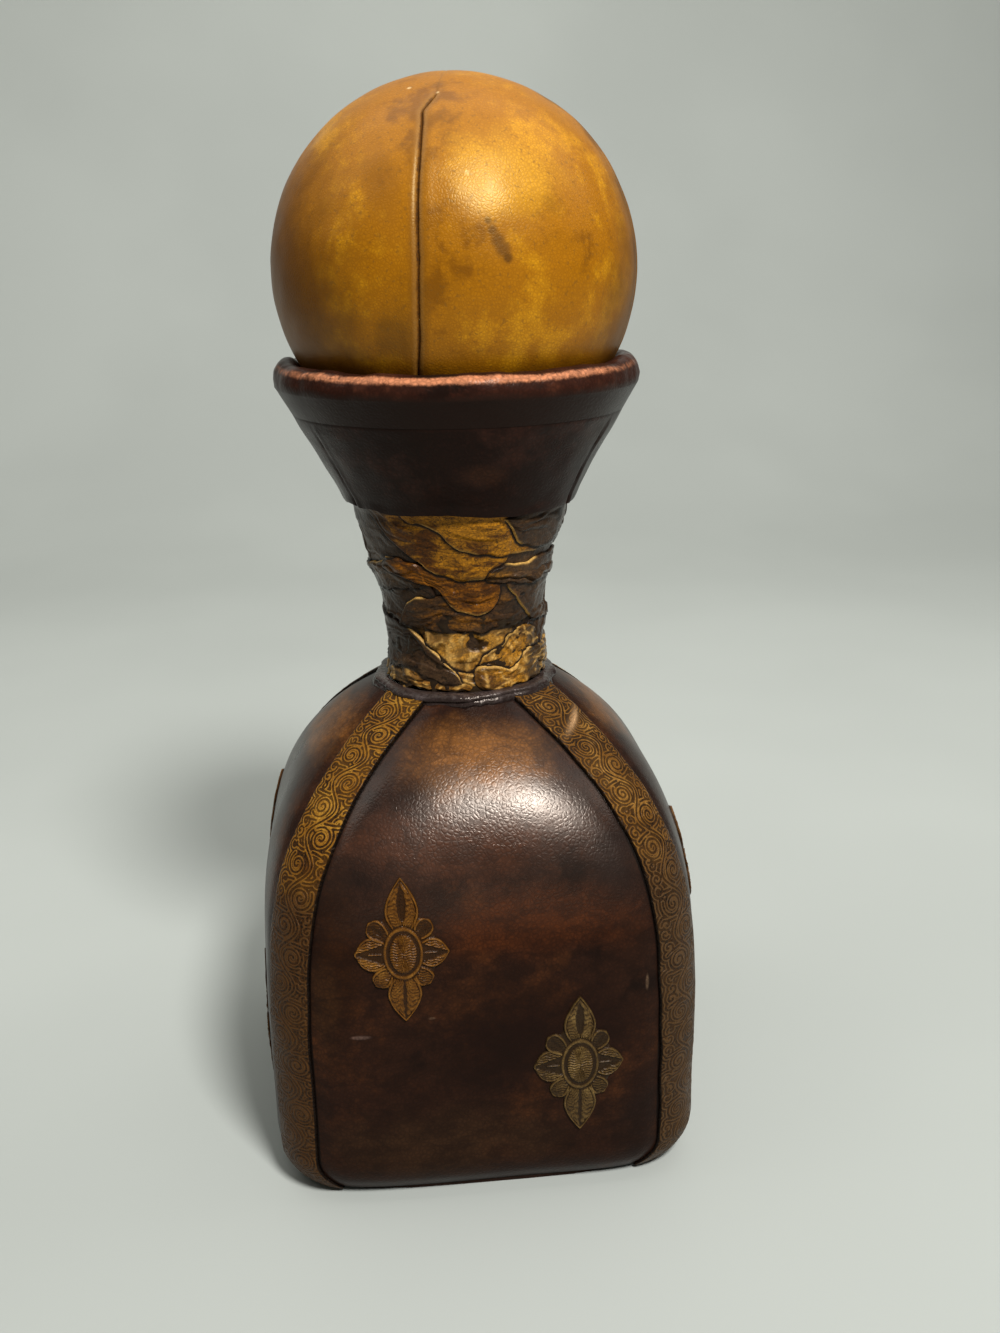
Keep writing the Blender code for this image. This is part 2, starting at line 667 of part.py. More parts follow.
def make_stopper(group, cutters, carrier):
    """Leather-covered ball on a dowel with a cork plug."""
    core = place("ball_core", ball(CORE_RADIUS), WOOD, group, carrier)
    hole_radius = DOWEL_RADIUS + GAP
    core_hole_top = DOWEL_DEPTH - CORE_RADIUS + GAP
    cut(core, round_cutter("core_hole", hole_radius, -2 * CORE_RADIUS, core_hole_top, cutters,
                           carrier))

    disc_height = -BALL_RADIUS * math.cos(FOOT_DISC_TILT)
    for index in range(GORES):
        low = BALL_SEAM_TURN + index * 2 * math.pi / GORES
        high = low + 2 * math.pi / GORES
        low_normal = Vector((math.sin(low), -math.cos(low), 0.0))
        high_normal = Vector((-math.sin(high), math.cos(high), 0.0))
        planes = [(-low_normal * SEAM_GAP / 2, low_normal),
                  (-high_normal * SEAM_GAP / 2, high_normal),
                  (Vector((0, 0, disc_height + SEAM_GAP)), Vector((0, 0, -1)))]
        skin = trimmed_ball(BALL_RADIUS, planes)
        gore = place(f"ball_gore_{index + 1}", skin, TAN_LEATHER, group, carrier)
        thicken(gore, BALL_LEATHER)

    planes = [(Vector((0, 0, disc_height - SEAM_GAP)), Vector((0, 0, 1)))]
    disc = place("ball_foot_disc", trimmed_ball(BALL_RADIUS, planes), TAN_LEATHER, group, carrier)
    thicken(disc, BALL_LEATHER)
    cut(disc, round_cutter("disc_hole", hole_radius, -2 * BALL_RADIUS, 0.0, cutters, carrier))

    dowel_top = BALL_Z - CORE_RADIUS + DOWEL_DEPTH
    tenon_z = CORK_TOP_Z - TENON_LENGTH
    dowel = [(0.0, dowel_top), (DOWEL_RADIUS - CORK_CHAMFER, dowel_top),
             (DOWEL_RADIUS, dowel_top - CORK_CHAMFER), (DOWEL_RADIUS, CORK_TOP_Z + GAP),
             (TENON_RADIUS, CORK_TOP_Z + GAP), (TENON_RADIUS, tenon_z), (0.0, tenon_z)]
    turned("stopper_dowel", dowel, WOOD, group, carrier, BALL_Z)

    cork_base = NECK_WAIST_Z - CORK_DROP
    waist = bore_radius(NECK_WAIST_Z) - GAP
    socket = TENON_RADIUS + GAP
    flank_rows = [CORK_TOP_Z]
    flank_rows += [z for z in reversed(NECK_ROWS) if NECK_WAIST_Z <= z < CORK_TOP_Z]
    flanks = [(bore_radius(z) - GAP, z) for z in flank_rows]
    cork = [(0.0, tenon_z - GAP), (socket, tenon_z - GAP), (socket, CORK_TOP_Z), *flanks,
            (waist, cork_base + CORK_CHAMFER), (waist - CORK_CHAMFER, cork_base), (0.0, cork_base)]
    turned("stopper_cork", cork, CORK, group, carrier, BALL_Z)


def main():
    """Build the decanter."""
    clear_scene()
    group = make_collection("leather_wrapped_decanter")
    cutters = make_collection("cutters")
    make_sole(group)
    make_glass(group)
    make_panels(group)
    make_corner_strips(group)
    make_medallions(group)
    make_foot_band(group)
    make_sleeve(group)
    make_weave(group)
    make_cover(group)
    make_rim(group)
    make_cuff(group)
    carrier = bpy.data.objects.new("stopper_axis", None)
    carrier.location = (0.0, 0.0, BALL_Z)
    group.objects.link(carrier)
    bpy.context.view_layer.update()
    make_stopper(group, cutters, carrier)


main()
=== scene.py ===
"""Looks of the leather-wrapped decanter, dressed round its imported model.

Metres, +Z up, front face towards -Y. A turn is an angle about Z in radians, from +X towards
+Y, so the front is at 270 degrees. A bearing is in degrees to the right of the front, and
DEGREE is what one is worth on the neck in millimetres. GLUE is the gap between two pieces, and
SKIRT the height at which the rim's skirt ends on the neck cover.
"""

import logging
import math
from dataclasses import dataclass, field
from enum import Enum
from functools import partial
from typing import Callable, Dict, Iterator, List, Optional, Sequence, Tuple

import bmesh
import bpy
import numpy as np
from mathutils import Matrix, Vector
from mathutils.kdtree import KDTree


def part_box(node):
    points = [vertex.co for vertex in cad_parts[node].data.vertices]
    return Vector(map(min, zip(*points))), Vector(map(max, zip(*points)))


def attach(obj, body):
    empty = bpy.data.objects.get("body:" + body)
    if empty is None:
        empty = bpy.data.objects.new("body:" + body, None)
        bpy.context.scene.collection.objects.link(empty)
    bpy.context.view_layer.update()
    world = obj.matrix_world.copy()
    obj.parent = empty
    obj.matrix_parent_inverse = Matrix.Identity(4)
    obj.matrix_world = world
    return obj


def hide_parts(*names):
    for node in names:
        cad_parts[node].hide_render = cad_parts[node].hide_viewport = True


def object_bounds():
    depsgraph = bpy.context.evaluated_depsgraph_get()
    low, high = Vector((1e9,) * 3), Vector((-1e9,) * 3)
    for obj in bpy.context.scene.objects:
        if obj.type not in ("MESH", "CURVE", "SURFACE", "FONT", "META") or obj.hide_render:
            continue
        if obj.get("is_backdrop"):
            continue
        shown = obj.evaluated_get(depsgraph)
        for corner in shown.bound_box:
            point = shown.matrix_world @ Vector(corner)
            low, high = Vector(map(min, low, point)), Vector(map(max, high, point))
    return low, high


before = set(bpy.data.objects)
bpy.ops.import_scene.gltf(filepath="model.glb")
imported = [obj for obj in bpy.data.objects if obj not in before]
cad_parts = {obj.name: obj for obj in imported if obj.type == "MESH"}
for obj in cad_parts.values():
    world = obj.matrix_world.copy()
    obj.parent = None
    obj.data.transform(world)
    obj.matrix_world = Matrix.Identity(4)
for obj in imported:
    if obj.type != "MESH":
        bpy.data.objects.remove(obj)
CAD_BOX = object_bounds()

Colour = Tuple[float, float, float]
Field = np.ndarray
Bent = Tuple[Field, Dict[str, Field]]
Shape = Callable[[Field], Bent]
Outline = Sequence[Tuple[float, float]]
Piece = bpy.types.Object
Material = bpy.types.Material
Socket = bpy.types.NodeSocket
Look = Tuple[Socket, Socket]

MM = 0.001
FRONT_TURN = math.radians(270)
CORNER = math.pi / 4
SHARP_ANGLE = math.radians(50)
MERGE_REACH = 0.003 * MM
GLUE = 0.3 * MM
SKIRT = 174.5 * MM
# Seam ink, which also paints the shade along raised edges.
SEAM_INK_AND_SHADE = (0.0040, 0.0026, 0.0022)
DEGREE = 0.35
log = logging.getLogger("decanter")


class Body(Enum):
    """The two bodies that pieces ride on."""

    DECANTER = "decanter"
    STOPPER = "stopper"


class Side(Enum):
    """Faces of the decanter, with the turn of each face's middle."""

    RIGHT = 0.0
    BACK = math.pi / 2
    LEFT = math.pi
    FRONT = 1.5 * math.pi


# Geometry helpers

class Ripple:
    """Smooth seeded unevenness, a sum of waves in random directions."""

    def __init__(self, seed: int, size: float, waves: int = 20) -> None:
        """Draw the waves.

        Args:
            seed: Seed of the random draw.
            size: Typical distance between two crests.
            waves: Number of waves.
        """
        draw = np.random.default_rng(seed)
        ways = draw.normal(size=(waves, 3))
        ways /= np.linalg.norm(ways, axis=1, keepdims=True)
        self.ways = ways * (2 * math.pi / size) * draw.uniform(0.6, 1.5, size=(waves, 1))
        self.starts = draw.uniform(0, 2 * math.pi, waves)

    def __call__(self, points: Field) -> Field:
        """Return the unevenness at points, mostly between -2 and 2."""
        waves = (np.cos(points @ way + start) for way, start in zip(self.ways, self.starts))
        return sum(waves) / math.sqrt(len(self.starts) / 2)


def share_of(values: Field, low: float, high: float) -> Field:
    """Return how far values are on the way from low to high, from 0 to 1."""
    return np.clip((values - low) / (high - low), 0.0, 1.0)


def smooth_step(values: Field, low: float, high: float) -> Field:
    """Return a smooth climb from 0 at low to 1 at high."""
    share = share_of(values, low, high)
    return share * share * (3 - 2 * share)


def bump_at(values: Field, middle: float, width: float) -> Field:
    """Return a bell that is 1 at its middle."""
    return np.exp(-((values - middle) / width) ** 2)


def round_edge(gap: Field, radius: float) -> Field:
    """Return the share of full height of a sheet at a distance from its rounded edge."""
    return np.sqrt(1 - (1 - share_of(gap, 0.0, radius)) ** 2)


def on_turn(radius: Field, turn: Field, z: Field) -> Field:
    """Return points from radii, turns and heights."""
    return np.stack([radius * np.cos(turn), radius * np.sin(turn), z], axis=-1)


def from_round(radius: Field, bearing: Field, z: Field) -> Field:
    """Return points from radii, bearings in degrees and heights."""
    return on_turn(radius, FRONT_TURN + np.radians(bearing), z)


def to_round(points: Field) -> Tuple[Field, Field, Field]:
    """Return radii, bearings in degrees and heights of points."""
    turn = np.degrees(np.arctan2(points[:, 1], points[:, 0]))
    return np.hypot(points[:, 0], points[:, 1]), (turn - 90.0) % 360.0 - 180.0, points[:, 2]


def way_along(points: Field) -> Field:
    """Return the length of a line of points up to each point."""
    steps = np.linalg.norm(np.diff(points, axis=0), axis=1)
    return np.concatenate([[0.0], np.cumsum(steps)])


def link(name: str, data: bpy.types.ID) -> bpy.types.Object:
    """Return a new object with its data, linked to the scene."""
    made = bpy.data.objects.new(name, data)
    bpy.context.scene.collection.objects.link(made)
    return made


def to_piece(name: str, builder: bmesh.types.BMesh) -> Piece:
    """Return a new piece made from a bmesh, which is freed."""
    data = bpy.data.meshes.new(name)
    builder.to_mesh(data)
    builder.free()
    return link(name, data)


def bend(piece: Piece, shape: Shape) -> None:
    """Move a piece's points by a shape function, and store its values for the finish to read."""
    data = piece.data
    flat = np.zeros(len(data.vertices) * 3, np.float32)
    data.vertices.foreach_get("co", flat)
    points, marks = shape(flat.reshape(-1, 3).astype(float))
    data.vertices.foreach_set("co", points.astype(np.float32).ravel())
    for name, values in marks.items():
        layer = data.attributes.new(name, "FLOAT", "POINT")
        layer.data.foreach_set("value", np.asarray(values, np.float32))
    data.update()


def sheet(name: str, size: Tuple[int, int], shape: Shape, disc: bool = False) -> Piece:
    """Make a leather sheet from a flat block of faces that a shape function bends.

    Args:
        name: Name of the piece.
        size: Faces across and along the sheet.
        shape: Takes all points, as places across and along from -1 to 1 and a side that is 0
            on the back and 1 on the face, and returns their new places and values to store.
        disc: True if the sheet's two sides meet and its first row is a single point.

    Returns:
        The new piece.
    """
    builder = bmesh.new()
    bmesh.ops.create_grid(builder, x_segments=size[0], y_segments=size[1], size=1.0)
    raised = bmesh.ops.extrude_face_region(builder, geom=list(builder.faces))["geom"]
    corners = [item for item in raised if isinstance(item, bmesh.types.BMVert)]
    bmesh.ops.translate(builder, verts=corners, vec=(0, 0, 1))
    bmesh.ops.recalc_face_normals(builder, faces=builder.faces)
    if disc:
        sides = [made for made in builder.faces if abs(made.normal.x) > 0.5 or made.normal.y < -0.5]
        bmesh.ops.delete(builder, geom=sides, context="FACES_ONLY")
    piece = to_piece(name, builder)
    bend(piece, shape)
    if disc:
        builder = bmesh.new()
        builder.from_mesh(piece.data)
        bmesh.ops.remove_doubles(builder, verts=builder.verts, dist=MERGE_REACH)
        builder.to_mesh(piece.data)
        builder.free()
    return piece


def turned(name: str, outline: Outline, steps: int, shape: Shape) -> Piece:
    """Spin a closed outline about Z into a ring and then bend it.

    Args:
        name: Name of the piece.
        outline: Points as (radius, height).
        steps: Faces round the ring.
        shape: Takes all points, and returns their new places and values to store.

    Returns:
        The new piece.
    """
    builder = bmesh.new()
    points = [builder.verts.new((radius, 0.0, z)) for radius, z in outline]
    edges = [builder.edges.new(pair) for pair in zip(points, points[1:] + points[:1])]
    bmesh.ops.spin(builder, geom=points + edges, cent=(0, 0, 0), axis=(0, 0, 1),
                   angle=2 * math.pi, steps=steps, use_merge=True)
    bmesh.ops.remove_doubles(builder, verts=builder.verts, dist=MERGE_REACH)
    bmesh.ops.recalc_face_normals(builder, faces=builder.faces)
    piece = to_piece(name, builder)
    bend(piece, shape)
    return piece


def dress(piece: Piece, finish: Material, slot: str, body: Body, *nodes: str) -> None:
    """Shade a new piece, give it its finish, attach it to its body and hide the nodes that it
    stands for.

    Args:
        piece: The piece.
        finish: Its material.
        slot: Not used.
        body: The body that it rides on.
        *nodes: The nodes that it stands for.
    """
    piece.data.shade_smooth()
    piece.data.set_sharp_from_angle(angle=SHARP_ANGLE)
    piece.data.materials.append(finish)
    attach(piece, body.value)
    if nodes:
        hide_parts(*nodes)
    log.info("%s: %d faces", piece.name, len(piece.data.polygons))


# Node trees

class Tree:
    """Short way to add and link nodes in a material or a group."""

    def __init__(self, tree: bpy.types.NodeTree) -> None:
        """Keep the tree."""
        self.tree = tree

    def add(self, kind: str, inputs: Optional[Dict] = None, **settings) -> bpy.types.Node:
        """Add a node.

        Args:
            kind: Node type, without its ShaderNode prefix.
            inputs: Socket name or index to a value or to an output socket.
            **settings: Properties of the node.

        Returns:
            The node.
        """
        node = self.tree.nodes.new("ShaderNode" + kind)
        for name, value in settings.items():
            setattr(node, name, value)
        for name, value in (inputs or {}).items():
            self.feed(node.inputs[name], value)
        return node

    def feed(self, socket: Socket, value) -> None:
        """Link an output to a socket, or set the socket's own value."""
        if isinstance(value, bpy.types.NodeSocket):
            self.tree.links.new(value, socket)
        elif isinstance(value, (tuple, list)) and socket.type == "RGBA":
            socket.default_value = (*value[:3], 1.0)
        else:
            socket.default_value = value

    def math(self, operation: str, *values) -> Socket:
        """Return the output of a Math node."""
        return self.add("Math", dict(enumerate(values)), operation=operation).outputs[0]

    def vector(self, operation: str, *values) -> Socket:
        """Return the vector that a Vector Math node puts out."""
        return self.add("VectorMath", dict(enumerate(values)), operation=operation).outputs[0]

    def climb(self, value, low: float, high: float, start: float = 0.0, end: float = 1.0) -> Socket:
        """Return a smooth climb from start at low to end at high."""
        node = self.add("MapRange", {"Value": value, "From Min": low, "From Max": high,
                                     "To Min": start, "To Max": end},
                        interpolation_type="SMOOTHSTEP")
        return node.outputs["Result"]

    def blend(self, share, first, second) -> Socket:
        """Return the mix of two colours."""
        node = self.add("Mix", data_type="RGBA", clamp_factor=True)
        for index, value in ((0, share), (6, first), (7, second)):
            self.feed(node.inputs[index], value)
        return node.outputs[2]

    def noise(self, place, size: float, detail: float = 3.0, rough: float = 0.55,
              twist: float = 0.0) -> Socket:
        """Return noise between 0 and 1, whose blotches have a size in metres."""
        node = self.add("TexNoise", {"Vector": place, "Scale": 1.0 / size, "Detail": detail,
                                     "Roughness": rough, "Distortion": twist})
        return node.outputs["Fac"]

    def swing(self, value, reach) -> Socket:
        """Return noise moved to swing about 0, over a reach."""
        return self.math("MULTIPLY", self.math("SUBTRACT", value, 0.5), reach)

    def place(self, height: float = 1.0) -> Socket:
        """Return the object coordinates, with heights scaled."""
        place = self.add("TexCoord").outputs["Object"]
        if height == 1.0:
            return place
        return self.add("Mapping", {"Vector": place, "Scale": (1.0, 1.0, height)}).outputs["Vector"]

    def value_of(self, name: str) -> Socket:
        """Return the value that a piece stores at its points."""
        return self.add("Attribute", attribute_name=name).outputs["Fac"]

    def bump(self, shader: bpy.types.NodeInputs, height, depth: float,
             strength: float = 1.0) -> None:
        """Give a shader its bumps."""
        node = self.add("Bump", {"Height": height, "Distance": depth, "Strength": strength})
        self.feed(shader["Normal"], node.outputs["Normal"])


def start_material(name: str) -> Tuple[Material, Tree, bpy.types.NodeInputs]:
    """Return a new material, its tree and its shader's inputs."""
    material = bpy.data.materials.new(name)
    material.use_nodes = True
    shader = material.node_tree.nodes["Principled BSDF"]
    return material, Tree(material.node_tree), shader.inputs


class Effects:
    """Node groups that several finishes share, each built once."""

    def __init__(self) -> None:
        """Build the groups."""
        self.grain = self.build_grain()
        self.patch = self.build_patch()
        self.mottle = self.build_mottle()

    @staticmethod
    def start(name: str, inputs: Dict[str, str], output: str, kind: str
              ) -> Tuple[Tree, bpy.types.NodeOutputs, bpy.types.NodeInputs]:
        """Make an empty group.

        Args:
            name: Name of the group.
            inputs: Input names and their socket kinds.
            output: Names of its outputs, with spaces between.
            kind: Their socket kind.

        Returns:
            The tree, what the group is given and what it puts out.
        """
        group = bpy.data.node_groups.new(name, "ShaderNodeTree")
        sockets = [(label, "INPUT", value) for label, value in inputs.items()]
        sockets += [(label, "OUTPUT", kind) for label in output.split()]
        for label, way, value in sockets:
            group.interface.new_socket(name=label, in_out=way, socket_type="NodeSocket" + value)
        given, made = group.nodes.new("NodeGroupInput"), group.nodes.new("NodeGroupOutput")
        return Tree(group), given.outputs, made.inputs

    def build_grain(self) -> bpy.types.NodeTree:
        """Return the group for leather grain: pebbles between fine creases."""
        tree, given, made = self.start(
            "leather_grain", {"Place": "Vector", "Density": "Float", "Creases": "Float"},
            "Height Pits", "Float")
        bent = tree.add("TexNoise", {"Vector": given["Place"], "Scale": 260.0, "Detail": 2.0})
        shift = tree.vector("MULTIPLY", bent.outputs["Color"], (0.0011, 0.0011, 0.0011))
        place = tree.vector("ADD", given["Place"], shift)
        cells = tree.add("TexVoronoi", {"Vector": place, "Scale": given["Density"]},
                         feature="DISTANCE_TO_EDGE")
        pebble = tree.climb(cells.outputs["Distance"], 0.0, 0.32)
        fine = tree.noise(given["Place"], 0.0005, 3.0, 0.6)
        creases = tree.noise(given["Place"], 0.009, 4.0, 0.6, 1.6)
        ridge = tree.climb(tree.math("ABSOLUTE", tree.math("SUBTRACT", creases, 0.5)), 0.0, 0.03)
        crease = tree.math("MULTIPLY_ADD", tree.math("SUBTRACT", ridge, 1.0), given["Creases"], 1.0)
        height = tree.math("MULTIPLY_ADD", fine, 0.45, tree.math("MULTIPLY", pebble, 0.55))
        tree.feed(made["Height"], tree.math("MULTIPLY", height, crease))
        tree.feed(made["Pits"], tree.math("SUBTRACT", 1.0, pebble))
        return tree.tree

    def build_patch(self) -> bpy.types.NodeTree:
        """Return the group for a ragged patch of colour about a place."""
        tree, given, made = self.start(
            "colour_patch", {"Place": "Vector", "Middle": "Vector", "Reach": "Vector",
                             "Ragged": "Float"}, "Mask", "Float")
        away = tree.vector("SUBTRACT", given["Place"], given["Middle"])
        share = tree.vector("DIVIDE", away, given["Reach"])
        length = tree.add("VectorMath", {0: share}, operation="LENGTH").outputs["Value"]
        ragged = tree.swing(tree.noise(given["Place"], 0.011, 5.0, 0.62), given["Ragged"])
        tree.feed(made["Mask"], tree.climb(tree.math("ADD", length, ragged), 0.35, 1.15, 1.0, 0.0))
        return tree.tree

    def build_mottle(self) -> bpy.types.NodeTree:
        """Return the group for antiqued colour: a dye rubbed thin in blotches."""
        tree, given, made = self.start(
            "rubbed_dye", {"Place": "Vector", "Thin": "Color", "Full": "Color", "Deep": "Color",
                           "Blotch": "Float"}, "Colour", "Color")
        scaled = tree.vector("MULTIPLY", given["Place"], given["Blotch"])
        wide = tree.math("MULTIPLY", tree.noise(scaled, 1.0, 4.0, 0.6, 0.4), 0.6)
        mixed = tree.math("MULTIPLY_ADD", tree.noise(scaled, 0.23, 5.0, 0.65, 0.2), 0.4, wide)
        rubbed = tree.blend(tree.climb(mixed, 0.50, 0.66), given["Full"], given["Thin"])
        deep = tree.climb(mixed, 0.47, 0.36)
        tree.feed(made["Colour"], tree.blend(deep, rubbed, given["Deep"]))
        return tree.tree


# Kinds of finish

@dataclass(frozen=True)
class Patch:
    """A place on a piece whose leather has another colour, in millimetres."""

    middle: Tuple[float, float, float]
    reach: Tuple[float, float, float]
    colour: Colour
    strength: float = 0.8
    ragged: float = 1.2


@dataclass(frozen=True)
class LeatherFinish:
    """Antiqued leather: rubbed dye, grain, patches, edges dark with ink and painted shade. Sizes in
    millimetres.
    """

    name: str
    full: Colour
    thin: Colour
    deep: Colour
    blotch: float = 30.0
    roughness: Tuple[float, float] = (0.30, 0.46)
    grain_cell: float = 1.1
    grain_depth: float = 0.10
    creases: float = 0.35
    specular: float = 0.15
    patches: Tuple[Patch, ...] = ()
    polished: Optional[Tuple[float, float, float, float]] = None
    tint: Colour = (1.0, 0.86, 0.74)
    streaks: float = 0.0
    edge_ink_and_shade: Optional[Colour] = None
    edge_reach: float = 0.9
    pit_shade: float = 0.35

    def colour(self, tree: Tree, effects: Effects, place: Socket) -> Socket:
        """Return the leather's colour, patches included."""
        dye = tree.add("Group", {"Place": place, "Thin": self.thin, "Full": self.full,
                                 "Deep": self.deep, "Blotch": 1.0 / (self.blotch * MM)},
                       node_tree=effects.mottle)
        colour = dye.outputs["Colour"]
        for patch in self.patches:
            middle, reach = (tuple(value * MM for value in row)
                             for row in (patch.middle, patch.reach))
            spot = tree.add("Group", {"Place": place, "Middle": middle, "Reach": reach,
                                      "Ragged": patch.ragged}, node_tree=effects.patch)
            share = tree.math("MULTIPLY", spot.outputs["Mask"], patch.strength)
            colour = tree.blend(share, colour, patch.colour)
        if self.streaks:
            rubs = tree.noise(tree.place(1.6), 0.007, 7.0, 0.72, 0.5)
            colour = tree.blend(tree.climb(rubs, 0.40, 0.58, self.streaks, 0.0), colour, self.deep)
        return colour

    def build(self, effects: Effects) -> Material:
        """Return the material.

        Args:
            effects: The shared node groups.

        Returns:
            The new material.
        """
        material, tree, shader = start_material(self.name)
        place = tree.place()
        grain = tree.add("Group", {"Place": place, "Density": 1.0 / (self.grain_cell * MM),
                                   "Creases": self.creases}, node_tree=effects.grain)
        colour, height = self.details(tree, place, self.colour(tree, effects, place),
                                      grain.outputs["Height"])
        pits = tree.math("MULTIPLY", grain.outputs["Pits"], self.pit_shade)
        colour = tree.blend(pits, colour, self.deep)
        # Dark line along the edges: seam ink, and painted shade beside raised edges.
        if self.edge_ink_and_shade:
            near = tree.climb(tree.value_of("edge_gap"), 0.15, self.edge_reach, 0.95, 0.0)
            colour = tree.blend(near, colour, self.edge_ink_and_shade)
        tree.feed(shader["Base Color"], colour)
        gloss = tree.noise(place, 0.016, 4.0)
        tree.feed(shader["Roughness"], tree.climb(gloss, 0.3, 0.7, *self.roughness))
        tree.bump(shader, height, self.grain_depth * MM)
        shader["Specular IOR Level"].default_value = self.specular
        shader["Specular Tint"].default_value = (*self.tint, 1.0)
        if self.polished:
            low, high, level, end = self.polished
            z = tree.add("SeparateXYZ", {"Vector": place}).outputs["Z"]
            gloss = tree.climb(z, low * MM, high * MM, self.specular, level)
            fade = tree.climb(z, (end - 14) * MM, end * MM, 1.0, 0.35)
            tree.feed(shader["Specular IOR Level"], tree.math("MULTIPLY", gloss, fade))
        return material

    def details(self, tree: Tree, place: Socket, colour: Socket, height: Socket) -> Look:
        """Return colour and height with what a kind of leather adds; plain leather adds nothing."""
        return colour, height


@dataclass(frozen=True)
class ScrollLeather(LeatherFinish):
    """Gilt leather with scrolls engraved in dark lines, that are a pitch apart in a swirl."""

    blotch: float = 12.0
    grain_cell: float = 0.8
    grain_depth: float = 0.08
    creases: float = 0.2
    specular: float = 0.09
    edge_ink_and_shade: Optional[Colour] = SEAM_INK_AND_SHADE
    edge_reach: float = 0.35
    ink: Colour = (0.012, 0.007, 0.004)
    rubbed: Colour = (0.62, 0.36, 0.17)
    line_pitch: float = 0.80
    line_half: float = 0.24
    low: Colour = (0.074, 0.035, 0.0120)

    def details(self, tree: Tree, place: Socket, colour: Socket, height: Socket) -> Look:
        """Return colour and height with the engraved lines."""
        gap = tree.math("PINGPONG", tree.value_of("scroll"), self.line_pitch / 2)
        gap = tree.math("ADD", gap, tree.swing(tree.noise(place, 0.0016, 3.0, 0.6), 0.42))
        line = tree.climb(gap, self.line_half * 0.7, self.line_half * 1.3, 1.0, 0.0)
        uneven = tree.swing(tree.noise(place, 0.014, 4.0, 0.6), 0.9)
        tone = tree.math("ADD", tree.value_of("tone"), uneven)
        colour = tree.blend(tree.climb(tone, 0.15, 0.75), self.low, colour)
        worn = tree.climb(tree.noise(place, 0.010, 4.0, 0.7), 0.40, 0.62, 1.0, 0.8)
        colour = tree.blend(tree.math("MULTIPLY", line, worn), colour, self.ink)
        colour = tree.blend(tree.math("MULTIPLY", tree.value_of("worn"), 0.9), colour, self.rubbed)
        return colour, tree.math("SUBTRACT", height, tree.math("MULTIPLY", line, 1.2))


@dataclass(frozen=True)
class StampedLeather(LeatherFinish):
    """Gilt leather pressed in a die, dark in its hollows, with painted shade round its outline."""

    blotch: float = 8.0
    roughness: Tuple[float, float] = (0.30, 0.45)
    grain_cell: float = 0.6
    grain_depth: float = 0.07
    creases: float = 0.1
    ink: Colour = (0.013, 0.0060, 0.0028)

    def details(self, tree: Tree, place: Socket, colour: Socket, height: Socket) -> Look:
        """Return colour and height with dark hollows, painted shade round the outline, and bright
        crests.
        """
        uneven = tree.swing(tree.noise(place, 0.0011, 4.0, 0.65), 0.60)
        tone = tree.math("ADD", tree.value_of("relief"), uneven)
        colour = tree.blend(tree.climb(tone, 0.72, 1.0, 0.0, 0.55), colour, self.thin)
        return tree.blend(tree.climb(tone, 0.30, 0.74, 0.95, 0.0), colour, self.ink), height


@dataclass(frozen=True)
class WrapLeather(LeatherFinish):
    """Leather of the neck wrap: gilt in front, dark with dye and painted shade where later bands
    overlie it and in folds, pale on torn edges, with painted highlights on crumpled crests.
    """

    blotch: float = 12.0
    roughness: Tuple[float, float] = (0.24, 0.38)
    grain_cell: float = 0.9
    grain_depth: float = 0.05
    creases: float = 0.4
    specular: float = 0.14
    gold: Colour = (0.42, 0.170, 0.009)
    gold_deep: Colour = (0.090, 0.029, 0.004)
    amber: Colour = (0.250, 0.080, 0.006)
    torn: Colour = (0.74, 0.42, 0.11)
    ink: Colour = (0.010, 0.007, 0.006)

    def details(self, tree: Tree, place: Socket, colour: Socket, height: Socket) -> Look:
        """Return colour and height with gilding, painted shade and dye where bands overlap, dark
        folds, pale edges and painted crest highlights.
        """
        flat = tree.place(2.4)
        streak = tree.noise(flat, 0.0065, 4.0, 0.58, 1.0)
        bright = tree.blend(tree.value_of("amber"), self.gold, self.amber)
        blotched = tree.math("ADD", streak, tree.swing(tree.noise(place, 0.010, 2.0), 0.9))
        gilt = tree.blend(tree.climb(blotched, 0.36, 0.60), self.gold_deep, bright)
        share = tree.math("ADD", tree.value_of("gilding"), tree.swing(streak, 0.9))
        colour = tree.blend(tree.climb(share, 0.25, 0.85), colour, gilt)
        cracks = tree.noise(flat, 0.0042, 6.0, 0.66, 1.6)
        away = tree.math("ABSOLUTE", tree.math("SUBTRACT", cracks, 0.5))
        colour = tree.blend(tree.climb(away, 0.030, 0.004, 0.0, 0.85), colour, self.ink)
        # Crease mark: dark crease lines, and painted shade along the band edges, in the lining's
        # folds and inside its hole.
        crease = tree.climb(tree.value_of("crease"), 0.25, 0.9, 0.0, 0.9)
        colour = tree.blend(crease, colour, self.ink)
        # Torn mark: pale torn edges, and painted highlights on the crumple crests.
        colour = tree.blend(tree.value_of("torn"), colour, self.torn)
        # Painted shade and dark dye where later bands overlie this one.
        crevice = tree.value_of("crevice")
        crevice = tree.math("ADD", crevice, tree.swing(tree.noise(place, 0.002), 0.5))
        colour = tree.blend(tree.climb(crevice, 0.14, 0.36, 0.0, 0.97), colour, self.ink)
        return colour, tree.math("ADD", height, streak)


